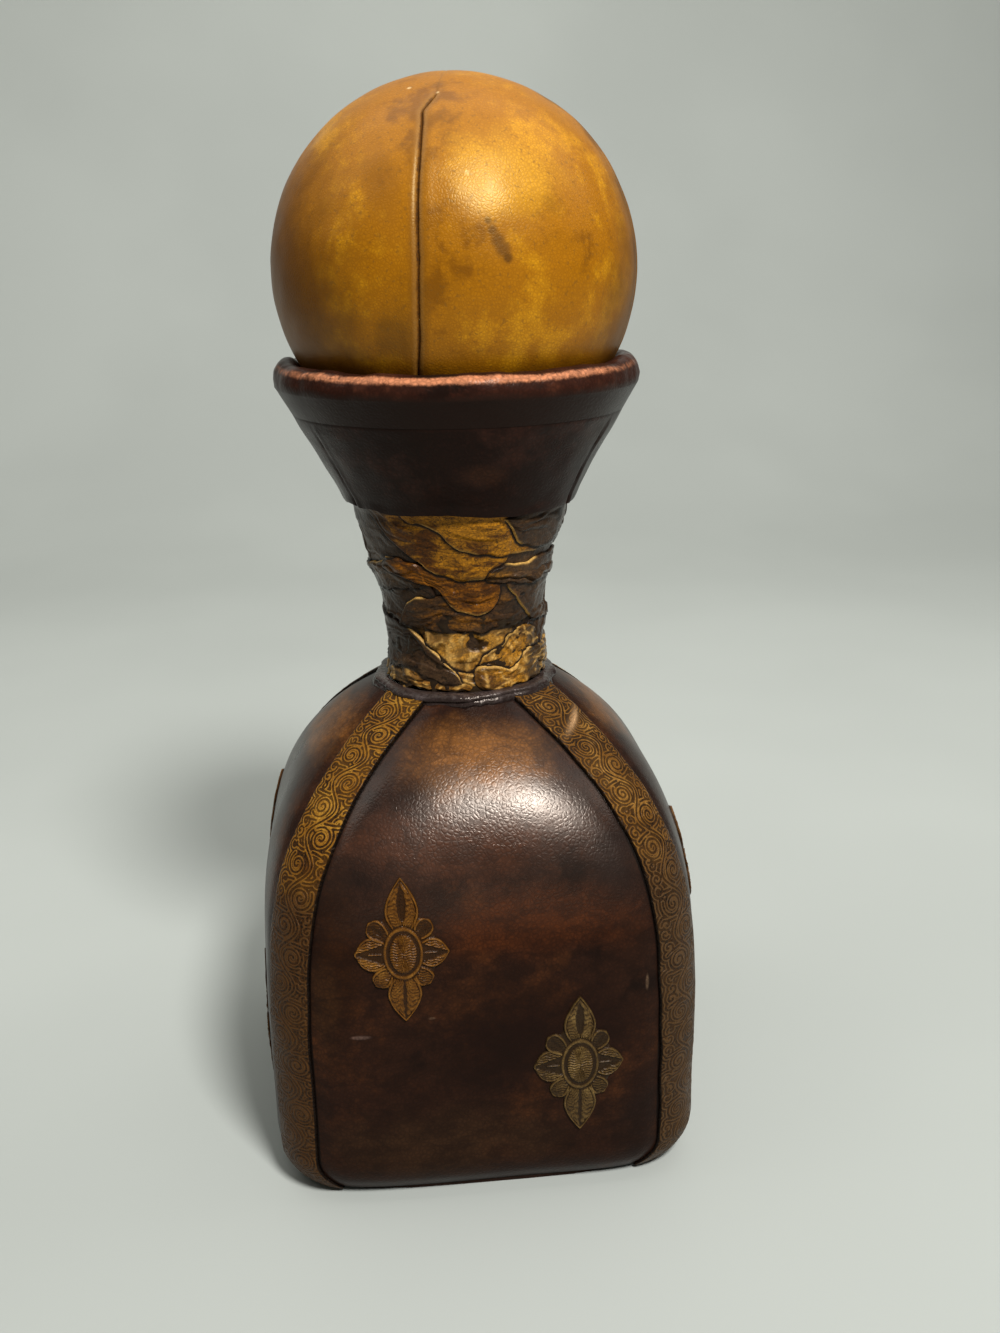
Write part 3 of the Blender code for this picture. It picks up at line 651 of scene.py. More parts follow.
@dataclass(frozen=True)
class CopperLeather(LeatherFinish):
    """Copper-red leather of the rim, lighter on its marked top: rubbed wear and a painted
    highlight.
    """

    roughness: Tuple[float, float] = (0.24, 0.38)
    grain_depth: float = 0.04
    creases: float = 0.4
    # Colour of the marked top: painted highlight, with rubbed wear on the rim.
    bright: Colour = (0.66, 0.250, 0.115)
    hem: Colour = (0.0130, 0.0046, 0.0032)

    def details(self, tree: Tree, place: Socket, colour: Socket, height: Socket) -> Look:
        """Return colour and height with the lighter marked top: rubbed wear and painted highlight.
        """
        uneven = tree.math("MULTIPLY_ADD", tree.noise(place, 0.0016, 5.0, 0.75), 3.0, -0.5)
        share = tree.math("MULTIPLY", tree.value_of("crest"), uneven)
        colour = tree.blend(tree.value_of("hem"), colour, self.hem)
        return tree.blend(tree.climb(share, 0.20, 1.15, 0.0, 0.9), colour, self.bright), height


@dataclass(frozen=True)
class BallLeather(LeatherFinish):
    """Golden tan leather of the ball, with dark seams and fine dark specks."""

    blotch: float = 20.0
    roughness: Tuple[float, float] = (0.34, 0.46)
    grain_cell: float = 0.7
    grain_depth: float = 0.03
    creases: float = 0.15
    specular: float = 0.36
    tint: Colour = (1.0, 0.84, 0.45)
    seam_ink: Colour = (0.050, 0.020, 0.008)
    stain: Colour = (0.15, 0.055, 0.004)
    speck: Colour = (0.16, 0.07, 0.010)
    lip_pale: Colour = (0.62, 0.34, 0.10)

    def details(self, tree: Tree, place: Socket, colour: Socket, height: Socket) -> Look:
        """Return colour and height with seams, their pale lips and specks."""
        speck = tree.climb(tree.noise(place, 0.0009, 2.0, 0.5), 0.60, 0.70, 0.0, 0.5)
        colour = tree.blend(speck, colour, self.speck)
        gap = tree.value_of("seam_gap")
        ragged = tree.math("ADD", gap, tree.swing(tree.noise(place, 0.0022, 3.0, 0.7), 1.2))
        depth = tree.value_of("seam_depth")
        for way, start, end, share, paint in (
                (gap, 1.5, 0.6, 0.28, self.lip_pale), (ragged, 2.6, 0.4, 0.5, self.stain),
                (ragged, 0.50, 0.14, 0.9, self.seam_ink)):
            near = tree.math("MULTIPLY", tree.climb(way, start, end, 0.0, share), depth)
            colour = tree.blend(near, colour, paint)
        return colour, height


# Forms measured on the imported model

@dataclass(frozen=True)
class BodyForm:
    """Square body that rounds off into the neck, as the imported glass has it."""

    half: float
    base_z: float
    neck_foot_z: float
    neck_foot_radius: float
    top_z: float
    shoulder_z: float = 45.0 * MM
    foot_inset: float = 3.4 * MM
    foot_top_z: float = 11.0 * MM
    shoulder_power: float = 3.5
    corner_power: float = 6.2
    panel_face: float = 1.7 * MM
    arc_points: int = 160
    climb_points: int = 500
    undulation: Ripple = field(default_factory=lambda: Ripple(5, 42 * MM))

    def wall(self, turn: Field, z: Field, inset: Field = 0.0) -> Field:
        """Return points of the glass, drawn in by an inset."""
        climb = share_of(z, self.shoulder_z, self.neck_foot_z)
        drawn_in = (self.half - self.neck_foot_radius) * climb ** self.shoulder_power
        power = self.corner_power + (2.0 - self.corner_power) * climb
        total = np.abs(np.cos(turn)) ** power + np.abs(np.sin(turn)) ** power
        return on_turn((self.half - drawn_in - inset) / total ** (1.0 / power), turn, z)

    def point(self, turn: Field, z: Field, lift: Field = 0.0) -> Field:
        """Return points lifted off the glass."""
        step = 0.01 * MM
        along = self.wall(turn + step, z) - self.wall(turn - step, z)
        up = self.wall(turn, z + step) - self.wall(turn, z - step)
        normal = np.cross(along, up)
        normal /= np.linalg.norm(normal, axis=1, keepdims=True)
        inset = self.foot_inset * (1 - share_of(z, self.base_z, self.foot_top_z)) ** 2
        return self.wall(turn, z, inset) + normal * np.reshape(lift, (-1, 1))

    def skin(self, turn: Field, z: Field, lift: Field) -> Field:
        """Return points lifted off the slightly uneven face of the panels."""
        uneven = 0.11 * MM * (self.undulation(self.wall(turn, z)) - 0.8)
        return self.point(turn, z, self.panel_face + uneven + lift)

    def rows_of(self, z: Field) -> Iterator[Tuple[Field, Field, Field]]:
        """Give the rows of a sheet one by one.

        Args:
            z: Height of each point.

        Yields:
            Which points are in the row, angles from a corner, and each one's way along the wall.
        """
        heights, places = np.unique(z, return_inverse=True)
        angles = np.linspace(0.0, CORNER, self.arc_points)
        for index, height in enumerate(heights):
            arc = self.point(CORNER + angles, np.full(self.arc_points, height))
            yield places == index, angles, way_along(arc)

    def from_corner(self, arc: Field, z: Field) -> Field:
        """Return the angle from a corner at which each point's arc along the wall ends."""
        angle = np.empty(len(z))
        for row, angles, ways in self.rows_of(z):
            angle[row] = np.sign(arc[row]) * np.interp(np.abs(arc[row]), ways, angles)
        return angle

    def climb(self, share: Field, turn: float) -> Tuple[Field, float]:
        """Return heights at shares of the way up the body at a turn, and the length of the way."""
        z = np.linspace(self.base_z, self.top_z, self.climb_points)
        way = way_along(self.point(np.full(self.climb_points, turn), z))
        return np.round(np.interp(share * way[-1], way, z), 7), float(way[-1])

    def turn_across(self, across: Field, z: Field) -> Field:
        """Return the angle from a face's middle at which the skin is a distance across."""
        low, high = np.full(len(z), -CORNER), np.full(len(z), CORNER)
        for _ in range(30):
            middle = (low + high) / 2
            short = self.point(middle, z, self.panel_face)[:, 1] < across
            low, high = np.where(short, middle, low), np.where(short, high, middle)
        return (low + high) / 2


@dataclass(frozen=True)
class NeckForm:
    """Round neck and flared mouth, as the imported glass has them."""

    foot_z: float
    foot_radius: float
    waist_z: float
    mouth_z: float
    waist_radius: float = 15.85 * MM
    mouth_radius: float = 23.2 * MM
    power: float = 1.4
    slope: float = 0.542
    wall: float = 3.0 * MM

    def radius(self, z: Field) -> Field:
        """Return the outer radius of the glass."""
        drop = share_of(z, self.waist_z, self.foot_z)
        climb = share_of(z, self.waist_z, self.mouth_z)
        flare = np.clip(z - self.mouth_z, 0.0, None) * self.slope
        return (self.waist_radius + (self.foot_radius - self.waist_radius) * drop ** 2
                + (self.mouth_radius - self.waist_radius) * climb ** self.power + flare)


# Leather on the body

@dataclass(frozen=True)
class PanelSet:
    """The four leather panels."""

    form: BodyForm
    size: Tuple[int, int] = (92, 112)
    seam_half: float = 0.35 * MM
    strip_half: float = 6.5 * MM
    sew_reach: float = 4.0 * MM
    rolled: float = 1.3 * MM
    narrow: float = 1.2 * MM
    bulge: float = 0.35 * MM
    sunk: float = 0.20 * MM
    tuck: float = 0.9 * MM
    thickness: float = 1.4 * MM

    def shape(self, side: Side, flat: Field) -> Bent:
        """Bend a flat sheet round the glass.

        Args:
            side: The face that the panel is on.
            flat: The sheet's points.

        Returns:
            Their new places, and values to store.
        """
        u, v, w = flat.T
        z, _ = self.form.climb((v + 1) / 2, side.value)
        turn, side_gap = np.empty((2, len(z)))
        for row, angles, ways in self.form.rows_of(z):
            side_gap[row] = self.seam_half + (1 - np.abs(u[row])) * (ways[-1] - self.seam_half)
            turn[row] = np.sign(u[row]) * (CORNER - np.interp(side_gap[row], ways, angles))
        beside_narrow = (u < 0) & (side is Side.FRONT)
        gap = np.minimum(side_gap - self.strip_half + self.narrow * beside_narrow,
                         z - self.form.base_z)
        tuck = self.tuck * (1 - round_edge(side_gap - self.seam_half, self.rolled))
        face = self.bulge * smooth_step(gap, 0.0, self.sew_reach) - self.sunk - tuck
        lift = np.where(w > 0.5, face, -self.thickness)
        return self.form.skin(side.value + turn, z, lift), {"edge_gap": gap / MM}

    def build(self, finishes: Dict[Side, Material]) -> None:
        """Make the panels, each in its face's finish."""
        for side, finish in finishes.items():
            name = side.name.lower() + "_panel"
            piece = sheet(name + "_leather", self.size, partial(self.shape, side))
            dress(piece, finish, "dark_leather", Body.DECANTER, name)


@dataclass(frozen=True)
class Scrolls:
    """Engraved scroll pattern on a strip, in millimetres across and along it."""

    length: float
    seed: int
    wave_half: float = 2.2
    pitch: float = 13.0

    @staticmethod
    def volute(x: float, y: float, reach: float, turns: float, start: float, way: int) -> Field:
        """Return a spiral's points, wound inwards.

        Args:
            x: Middle across.
            y: Middle along.
            reach: Radius of its start.
            turns: Number of turns.
            start: Angle of its start in radians.
            way: 1 or -1, the way it winds.

        Returns:
            The points.
        """
        share = np.linspace(0.0, 1.0, int(60 * turns * max(reach, 0.8)))
        angle = start + way * share * turns * 2 * math.pi
        radius = reach * (1 - 0.86 * share ** 0.85)
        return np.stack([x + radius * np.cos(angle), y + radius * np.sin(angle)], axis=-1)

    def points(self) -> Field:
        """Return points along every engraved line."""
        draw = np.random.default_rng(self.seed)
        y = np.arange(0.0, self.length, 0.08)
        fan = np.linspace(0.0, 1.0, 40)
        parts = [np.stack([self.wave_half * np.sin(2 * math.pi * y / self.pitch), y], axis=-1)]
        for half_wave in range(int(2 * self.length / self.pitch) + 1):
            middle = (half_wave + 0.5) * self.pitch / 2
            side = 1 if half_wave % 2 == 0 else -1
            parts.append(self.volute(
                -side * draw.uniform(1.4, 2.1), middle, draw.uniform(2.4, 3.0),
                draw.uniform(1.5, 2.0), draw.uniform(0, 2 * math.pi), side))
            for shift in (-2.6, 0.2, 2.7):
                parts.append(self.volute(
                    side * draw.uniform(3.9, 4.9), middle + shift + draw.uniform(-0.4, 0.4),
                    draw.uniform(0.9, 1.5), draw.uniform(0.8, 1.3),
                    draw.uniform(0, 2 * math.pi), draw.choice((-1, 1))))
            for shift in (-3.2, 3.2):
                bent = middle + shift + draw.uniform(-1.2, 1.2) * fan * fan
                parts.append(np.stack([-side * (1.2 + 3.6 * fan), bent], axis=-1))
        return np.concatenate(parts)

    def gap(self, across: Field, along: Field) -> Field:
        """Return the distance of each place to the nearest engraved line."""
        lines = self.points()
        tree = KDTree(len(lines))
        for index, (x, y) in enumerate(lines):
            tree.insert((x, y, 0.0), index)
        tree.balance()
        return np.array([tree.find((x, y, 0.0))[2] for x, y in zip(across, along)])


@dataclass(frozen=True)
class StripSet:
    """The four gilt corner strips, each with the eighth of a turn that its corner is at."""

    form: BodyForm
    size: Tuple[int, int] = (52, 430)
    half_width: float = 6.5 * MM
    thickness: float = 0.8 * MM
    foot_spread: float = 2.0 * MM
    foot_rise: float = 9.0 * MM
    narrow: float = 1.2 * MM
    wander: float = 0.13 * MM
    rounded: float = 0.5 * MM
    line_rise: float = 0.10 * MM
    sunk: float = 0.12 * MM
    tucked: float = 0.10 * MM
    wrinkle: float = 0.95 * MM
    wrinkle_drop: float = 12.5 * MM
    first_seed: int = 3
    corners: Tuple[Tuple[str, int], ...] = (("front_right", 7), ("back_right", 1),
                                            ("back_left", 3), ("front_left", 5))

    def shape(self, name: str, corner: float, seed: int, flat: Field) -> Bent:
        """Bend a flat sheet over a corner.

        Args:
            name: The corner's name. The front right strip has a wrinkle near its top, and the
                front left one is narrower on the front.
            corner: Turn of the corner.
            seed: Seed of its scrolls and edges.
            flat: The sheet's points.

        Returns:
            Their new places, and values to store.
        """
        u, v, w = flat.T
        z, length = self.form.climb((v + 1) / 2, corner)
        along = (v + 1) / 2 * length
        edge_way = np.stack([np.sign(u) * 90 * MM, along, np.zeros(len(u))], axis=-1)
        low = 1 - share_of(z - self.form.base_z, 0.0, self.foot_rise)
        width = self.half_width + self.wander * Ripple(seed, 14 * MM, 8)(edge_way)
        width = width + self.foot_spread * low ** 2
        width = width - self.narrow * ((u > 0) & (name == "front_left"))
        across = u * width
        side_gap = (1 - np.abs(u)) * width
        gap = Scrolls(length / MM, seed).gap(across / MM, along / MM)
        rise = self.line_rise * (1 - smooth_step(np.abs(gap - 0.35), 0.0, 0.30))
        face = self.thickness * (0.35 + 0.65 * round_edge(side_gap, self.rounded)) + rise
        ridge = bump_at(along, length - self.wrinkle_drop + 0.55 * across, 0.9 * MM)
        worn = ridge * bump_at(across, 0.8 * MM, 3.6 * MM) * (name == "front_right")
        face = face - self.sunk + self.wrinkle * worn
        turn = corner + self.form.from_corner(across, z)
        points = self.form.skin(turn, z, np.where(w > 0.5, face, -self.tucked))
        tone = smooth_step(along, 0.44 * length, 0.84 * length)
        return points, {"scroll": gap, "worn": worn, "tone": tone, "edge_gap": side_gap / MM}

    def build(self, finishes: Dict[str, Material]) -> None:
        """Make the strips, each in its corner's finish."""
        for seed, (name, eighth) in enumerate(self.corners, start=self.first_seed):
            shape = partial(self.shape, name, eighth * CORNER, seed)
            piece = sheet(name + "_strip_leather", self.size, shape)
            dress(piece, finishes[name], "gilt_leather", Body.DECANTER, name + "_strip")


@dataclass(frozen=True)
class Petal:
    """A pointed petal of a medallion, in millimetres from the medallion's middle.

    A slit is given by its width, and by where it starts and ends along the petal.
    """

    way: float
    start: float
    tip: float
    widest: float
    half_width: float
    slit: Optional[Tuple[float, float, float]] = None
    arrow: bool = False
    blunt: float = 1.6
    filled: float = 1.0

    def measure(self, x: Field, y: Field) -> Tuple[Field, Field, Field]:
        """Return how far points are along the petal's axis, beside it and inside the petal."""
        angle = math.radians(self.way)
        along = x * math.cos(angle) + y * math.sin(angle)
        beside = np.abs(y * math.cos(angle) - x * math.sin(angle))
        below = share_of(along, self.widest, self.start)
        above = share_of(along, self.widest, self.tip)
        half = self.half_width * (1 - 0.45 * below ** 2) * (1 - above ** self.blunt)
        half = np.where(along < self.start, 0.0, half)
        return along, beside, np.minimum(half - beside, self.tip - along)

    def relief(self, x: Field, y: Field, hatch: Field) -> Field:
        """Return the petal's pressed height.

        Args:
            x: Places across.
            y: Places up.
            hatch: Height of the fine hatching, 0 to 1.

        Returns:
            Heights, 0 in the hollows and 1 on the crests.
        """
        along, beside, inside = self.measure(x, y)
        rim = 0.95 * bump_at(inside, 0.42, 0.34)
        blade = smooth_step(inside, 0.70, 1.00) * (0.36 + 0.58 * hatch) * self.filled
        if self.arrow:
            blade = blade * smooth_step(beside - 0.34 * (self.tip - along), -0.15, 0.15)
            spine = 0.7 * bump_at(beside, 0.0, 0.22) * (along < self.tip - 3.4)
            blade = np.maximum(blade, spine * (inside > 0.9))
        if self.slit:
            width, low, high = self.slit
            off = (along - (low + high) / 2) / ((high - low) / 2)
            width = width * np.sqrt(np.clip(1 - off ** 2, 0.0, 1.0))
            blade = blade * (0.03 + 0.97 * smooth_step(beside - width / 2, -0.25, 0.25))
        return np.where(inside > -0.1, np.maximum(rim, blade), 0.0)


@dataclass(frozen=True)
class Medallion:
    """A pressed leaf medallion: an oval boss in a ring of petals, its heights in millimetres."""

    form: BodyForm
    across: float
    height: float
    wear: float = 0.0
    stretch: float = 1.0
    size: Tuple[int, int] = (240, 36)
    scale: float = 0.895
    rounded: float = 0.7
    plate: float = 0.40
    pressed: float = 0.46
    raised: float = 0.36
    tucked: float = 0.10
    petals: Tuple[Petal, ...] = (
        Petal(90, 6.0, 18.2, 10.4, 4.2, (2.0, 8.0, 15.6)),
        Petal(270, 6.0, 18.4, 10.8, 4.3, (0.7, 6.8, 17.0)),
        Petal(0, 3.6, 11.4, 7.0, 3.8, arrow=True, blunt=2.2),
        Petal(180, 3.6, 12.0, 7.4, 4.3, arrow=True, blunt=2.4),
        Petal(50, 5.4, 10.7, 8.2, 2.4, (0.8, 6.4, 9.4), blunt=3.0, filled=0.55),
        Petal(137, 5.4, 11.4, 8.8, 2.5, (0.9, 6.6, 9.9), blunt=3.0, filled=0.55),
        Petal(230, 5.4, 10.9, 8.4, 2.5, blunt=3.0, filled=0.85),
        Petal(308, 5.4, 10.5, 8.2, 2.4, blunt=3.0, filled=0.8))

    def reach(self, angle: Field) -> Field:
        """Return the outline's distance from the middle at each angle."""
        trial = np.linspace(5.0, 18.5, 190)
        x, y = np.cos(angle)[:, None] * trial, np.sin(angle)[:, None] * trial
        inside = np.abs(x / 9.6) ** 1.3 + np.abs(y / 12.6) ** 1.3 < 1
        for petal in self.petals:
            inside |= petal.measure(x, y)[2] > 0
        return trial[len(trial) - 1 - np.argmax(inside[:, ::-1], axis=1)]

    def relief(self, x: Field, y: Field) -> Field:
        """Return the pressed height of each place, 0 in the hollows and 1 on the crests."""
        hatch = 0.5 + 0.5 * np.cos(2 * math.pi * (y + 0.14 * np.sin(3.1 * x)) / 0.66)
        height = np.maximum.reduce([petal.relief(x, y, hatch) for petal in self.petals])
        oval = np.hypot(x / 4.8, y / 6.7)
        inner = np.hypot(x / 3.5, y / 5.3)
        ring = 0.95 * bump_at((oval - 0.92) * 5.4, 0.0, 0.42)
        boss = smooth_step(1 - inner, 0.0, 0.14) * (0.42 + 0.52 * hatch)
        return np.where(oval < 1.04, np.maximum(ring, boss), height)

    def shape(self, side: Side, flat: Field) -> Bent:
        """Lay a flat sheet on a panel.

        Args:
            side: The face that the medallion is on.
            flat: The sheet's points.

        Returns:
            Their new places, and values to store.
        """
        u, v, w = flat.T
        angle = (u + 1) * math.pi
        outline = self.reach(angle)
        inwards = outline * (v + 1) / 2
        x, y = np.cos(angle) * inwards, np.sin(angle) * inwards
        gap = outline - inwards
        relief = self.relief(x, y)
        boss = np.clip(1 - (x / 4.0) ** 2 - (y / 6.2) ** 2, 0.0, 1.0)
        face = round_edge(gap, self.rounded) * (self.plate + self.pressed * relief)
        lift = MM * np.where(w > 0.5, face + self.raised * boss, -self.tucked)
        z = self.height + y * MM * self.scale * self.stretch
        turn = side.value + self.form.turn_across(self.across + x * MM * self.scale, z)
        # Relief is 0 on the back and along the outline's edge, so the finish paints a dark rim
        # there as painted shade; wear lowers the relief.
        shown = (w > 0.5) * (gap > 0.18) * (1 - 0.15 * self.wear)
        return self.form.skin(turn, z, lift), {"relief": np.clip(relief * shown, 0.0, 1.0)}

    def build(self, name: str, side: Side, finish: Material) -> None:
        """Make the medallion on a face, in its finish, for the node of its name."""
        piece = sheet(name + "_leather", self.size, partial(self.shape, side), disc=True)
        dress(piece, finish, "gilt_leather", Body.DECANTER, name)


# Leather on the neck

class Edge(Enum):
    """The two long edges of a wrap band."""

    LOWER = -1
    UPPER = 1


UP, DOWN = Edge.UPPER, Edge.LOWER


@dataclass(frozen=True)
class Band:
    """A band of the neck wrap between two edges, as (bearing in degrees, height in mm).

    Pale stretches of an edge have the bearings between which they lie. A hole has a bearing
    and a height, and its half-width in degrees and half-height in millimetres.
    """

    name: str
    lower: Outline
    upper: Outline
    gold: float
    seed: int
    pale: Tuple[Tuple[Edge, float, float], ...] = ()
    node: str = ""
    crumple: float = 0.0
    amber: float = 0.0
    hole: Tuple[float, float, float, float] = (0.0, 0.0, 1.0, 1.0)

    def ends(self) -> Tuple[float, float]:
        """Return the bearings between which the band lies."""
        return self.lower[0][0], self.lower[-1][0]

    def end_gap(self, bearing: Field) -> Field:
        """Return the distance to the nearer end in millimetres."""
        first, last = self.ends()
        return np.minimum(bearing - first, last - bearing) * DEGREE

    def heights(self, bearing: Field) -> Tuple[Field, Field]:
        """Return the heights of both edges in millimetres at each bearing."""
        still = np.zeros(len(bearing))
        way = np.stack([bearing * DEGREE, still + 40.0 * self.seed, still], axis=-1)
        low, high = (np.interp(bearing, *zip(*line)) + 0.22 * Ripple(seed, 4.5, 10)(way)
                     for line, seed in ((self.lower, self.seed), (self.upper, self.seed + 50)))
        draw_in = 0.5 * (1 - round_edge(self.end_gap(bearing), 3.0)) * (high - low)
        return low + draw_in, high - draw_in


class WrapLayers:
    """Thickness of the neck wrap in millimetres round the neck, built up band by band."""

    columns = 720
    rows = 260
    low_z = 108.0
    z_step = 0.2
    neck_radius = 21.0
    thickness = 0.56
    settled = 0.45

    def __init__(self, bands: Sequence[Band]) -> None:
        """Lay every band on the bare sleeve."""
        self.height = np.zeros((self.rows, self.columns))
        self.seats: List[Field] = []
        self.masks: List[Field] = []
        for band in bands:
            self.lay(band)

    def soften(self, values: Field, reach: float) -> Field:
        """Return the map blurred over a reach in millimetres."""
        up = np.fft.fftfreq(self.rows, self.z_step)[:, None]
        around = np.fft.rfftfreq(self.columns, 2 * math.pi * self.neck_radius / self.columns)
        kept = np.exp(-2 * (math.pi * reach) ** 2 * (up ** 2 + around ** 2))
        return np.fft.irfft2(np.fft.rfft2(values) * kept, s=values.shape)

    def lay(self, band: Band) -> None:
        """Lay a band on what is there."""
        first, last = band.ends()
        bearing = (np.arange(self.columns) * 360.0 / self.columns - first) % 360.0 + first
        low, high = band.heights(bearing)
        z = (self.low_z + np.arange(self.rows) * self.z_step)[:, None]
        mask = (bearing <= last) & (z > low) & (z < high)
        spread = np.clip(self.soften(self.height ** 5 + 1e-9, 0.8), 0.0, None) ** 0.2
        seat = spread * self.settled + self.height * (1 - self.settled)
        self.seats.append(seat)
        self.masks.append(mask)
        top = np.maximum(seat, self.height) + self.thickness * 0.8
        self.height = np.where(mask, top, self.height)

    def sample(self, values: Field, bearing: Field, z: Field) -> Field:
        """Return a map's values at places, read between its points."""
        column = (bearing % 360.0) * self.columns / 360.0
        row = np.clip((z - self.low_z) / self.z_step, 0, self.rows - 1.001)
        left, down = column.astype(int), row.astype(int)
        total = np.zeros(len(z))
        for across, up in ((0, 0), (1, 0), (0, 1), (1, 1)):
            share = np.abs(1 - across - (column - left)) * np.abs(1 - up - (row - down))
            total += share * values[down + up, (left + across) % self.columns]
        return total

    def cover_after(self, index: int) -> Field:
        """Return a soft map of what the later bands hide."""
        later = np.zeros(self.height.shape)
        for mask in self.masks[index + 1:]:
            later = np.maximum(later, mask)
        return self.soften(later, 0.75)


@dataclass(frozen=True)
class NeckWrap:
    """Leather bands wound criss-cross on the neck and torn open in front."""

    neck: NeckForm
    bands: Tuple[Band, ...]
    size: Tuple[int, int] = (44, 130)
    seat: float = 1.15 * MM
    folds: int = 4

    def shape(self, layers: WrapLayers, index: int, flat: Field) -> Bent:
        """Wind a flat sheet on the neck.

        Args:
            layers: The wrap's thickness map.
            index: The band's number in the order of laying.
            flat: The sheet's points.

        Returns:
            Their new places, and values to store.
        """
        u, v, w = flat.T
        band = self.bands[index]
        draw = np.random.default_rng(band.seed)
        first, last = band.ends()
        bearing = first + (v + 1) / 2 * (last - first)
        low, high = band.heights(bearing)
        z = low + (u + 1) / 2 * (high - low)
        side_gap = np.minimum((1 - np.abs(u)) * (high - low) / 2, band.end_gap(bearing))
        way = np.stack([bearing * DEGREE, z, np.full(len(u), 9.0 * band.seed)], axis=-1)
        wander = Ripple(band.seed + 90, 9.0, 10)(way)
        # Painted shade along the band's edges, stored with the crease lines.
        shade = (0.34 + 0.25 * wander) * (1 - smooth_step(side_gap, 0.3, 2.2))
        crease = np.maximum(0.0, shade)
        lift = 0.11 * wander + 0.025 * Ripple(band.seed + 7, 2.2)(way)
        for _ in range(self.folds):
            middle, lean = draw.uniform(-0.7, 0.7), draw.uniform(-0.5, 0.5)
            depth = draw.uniform(0.25, 0.7)
            off = (u - middle - lean * v) * (high - low) / 2 + 0.7 * wander
            crease = np.maximum(crease, depth * bump_at(off, 0.0, 0.15))
            lift = lift + depth * (0.26 * bump_at(off, 0.9, 0.7) - 0.24 * bump_at(off, 0.0, 0.3))
        torn = np.zeros(len(u))
        if band.crumple:
            ridge = 1 - np.abs(Ripple(band.seed + 13, 7.5, 14)(way))
            sharp = 1 - np.abs(Ripple(band.seed + 17, 4.0, 14)(way * (1.0, 2.0, 1.0)))
            vein = Ripple(band.seed + 21, 6.5, 12)(way * (1.0, 1.6, 1.0))
            # Pale on the crumple crests: pale torn leather and painted highlights.
            torn = 0.6 * smooth_step(0.6 * ridge + 0.4 * sharp, 0.36, 0.82) + 0.13 * band.crumple
            # Dark veins between the crumples: painted shade in the folds.
            crease = np.maximum(crease, 0.70 * bump_at(vein, 0.0, 0.11))
            middle, height, half, tall = band.hole
            away = np.hypot((bearing - middle) / half, (z - height) / tall) + 0.25 * wander
            torn = torn * (1 - smooth_step(crease, 0.3, 0.8)) * smooth_step(away, 0.8, 1.2)
            # Painted shade inside the hole.
            crease = np.maximum(crease, 2.0 * (1 - smooth_step(away, 0.6, 1.1)))
            lift = lift + band.crumple * (0.30 * ridge + 0.18 * sharp)
            lift = lift - 0.7 * (1 - smooth_step(away, 0.5, 1.2))
        for edge, start, end in band.pale:
            near = bump_at((1 - edge.value * u) * (high - low) / 2, 0.0, 0.34)
            along = smooth_step(bearing, start - 3, start + 2)
            torn = np.maximum(torn, near * along * (1 - smooth_step(bearing, end - 2, end + 3)))
        face = (layers.thickness + lift) * round_edge(side_gap, 0.45)
        height = layers.sample(layers.seats[index], bearing, z) + np.where(w > 0.5, face, -0.05)
        height = height * (1 - 0.55 * smooth_step(z, 150.5, 154.3))
        radius = self.neck.radius(z * MM) + self.seat + height * MM
        bell = np.exp(-((np.abs(bearing + 2) / 47.0) ** 4))
        marks = {"crevice": layers.sample(layers.cover_after(index), bearing, z), "torn": torn,
                 "gilding": band.gold * bell, "crease": crease,
                 "amber": np.full(len(u), band.amber)}
        return from_round(radius, bearing, z * MM), marks

    def build(self, finish: Material) -> None:
        """Make the bands, all in one finish."""
        layers = WrapLayers(self.bands)
        for index, band in enumerate(self.bands):
            piece = sheet("wrap_" + band.name, self.size, partial(self.shape, layers, index))
            nodes = ["neck_wrap_" + band.node] if band.node else []
            dress(piece, finish, "wrap_leather", Body.DECANTER, *nodes)


@dataclass(frozen=True)
class FootBand:
    """Rolled leather band where the neck meets the shoulders, as (radius, height)."""

    middle: Tuple[float, float]
    reach: Tuple[float, float]
    steps: int = 300
    points: int = 40
    power: float = 2.6

    def shape(self, points: Field) -> Bent:
        """Crush the roll here and there."""
        radius, bearing, z = to_round(points)
        out = np.clip((radius - self.middle[0]) / self.reach[0], -1.0, 1.0)
        up = (z - self.middle[1]) / self.reach[1]
        push = 0.28 * Ripple(31, 9 * MM, 24)(points) + 0.08 * Ripple(32, 2.6 * MM, 24)(points)
        fold = bump_at(up - 0.35 * np.sin(np.radians(bearing * 3.0)), 0.15, 0.20)
        push = MM * np.clip(push - 0.45 * fold * np.clip(out, 0.0, 1.0), -0.8, 0.5)
        radius = radius + push * np.clip(out + 0.4, 0.0, 1.0)
        z = z + 0.22 * MM * np.sin(np.radians(bearing * 2 + 40)) + 0.25 * push * up
        # The top half is marked for a painted highlight.
        return from_round(radius, bearing, z), {"crest": np.clip(up, 0.0, 1.0) * 0.5}

    def build(self, finish: Material) -> None:
        """Make the band."""
        angle = 2 * math.pi * np.arange(self.points) / self.points
        total = np.abs(np.cos(angle)) ** self.power + np.abs(np.sin(angle)) ** self.power
        away = total ** (-1.0 / self.power)
        outline = zip(self.middle[0] + self.reach[0] * away * np.cos(angle),
                      self.middle[1] + self.reach[1] * away * np.sin(angle))
        piece = turned("neck_foot_band_leather", outline, self.steps, self.shape)
        dress(piece, finish, "cover_leather", Body.DECANTER, "neck_foot_band")


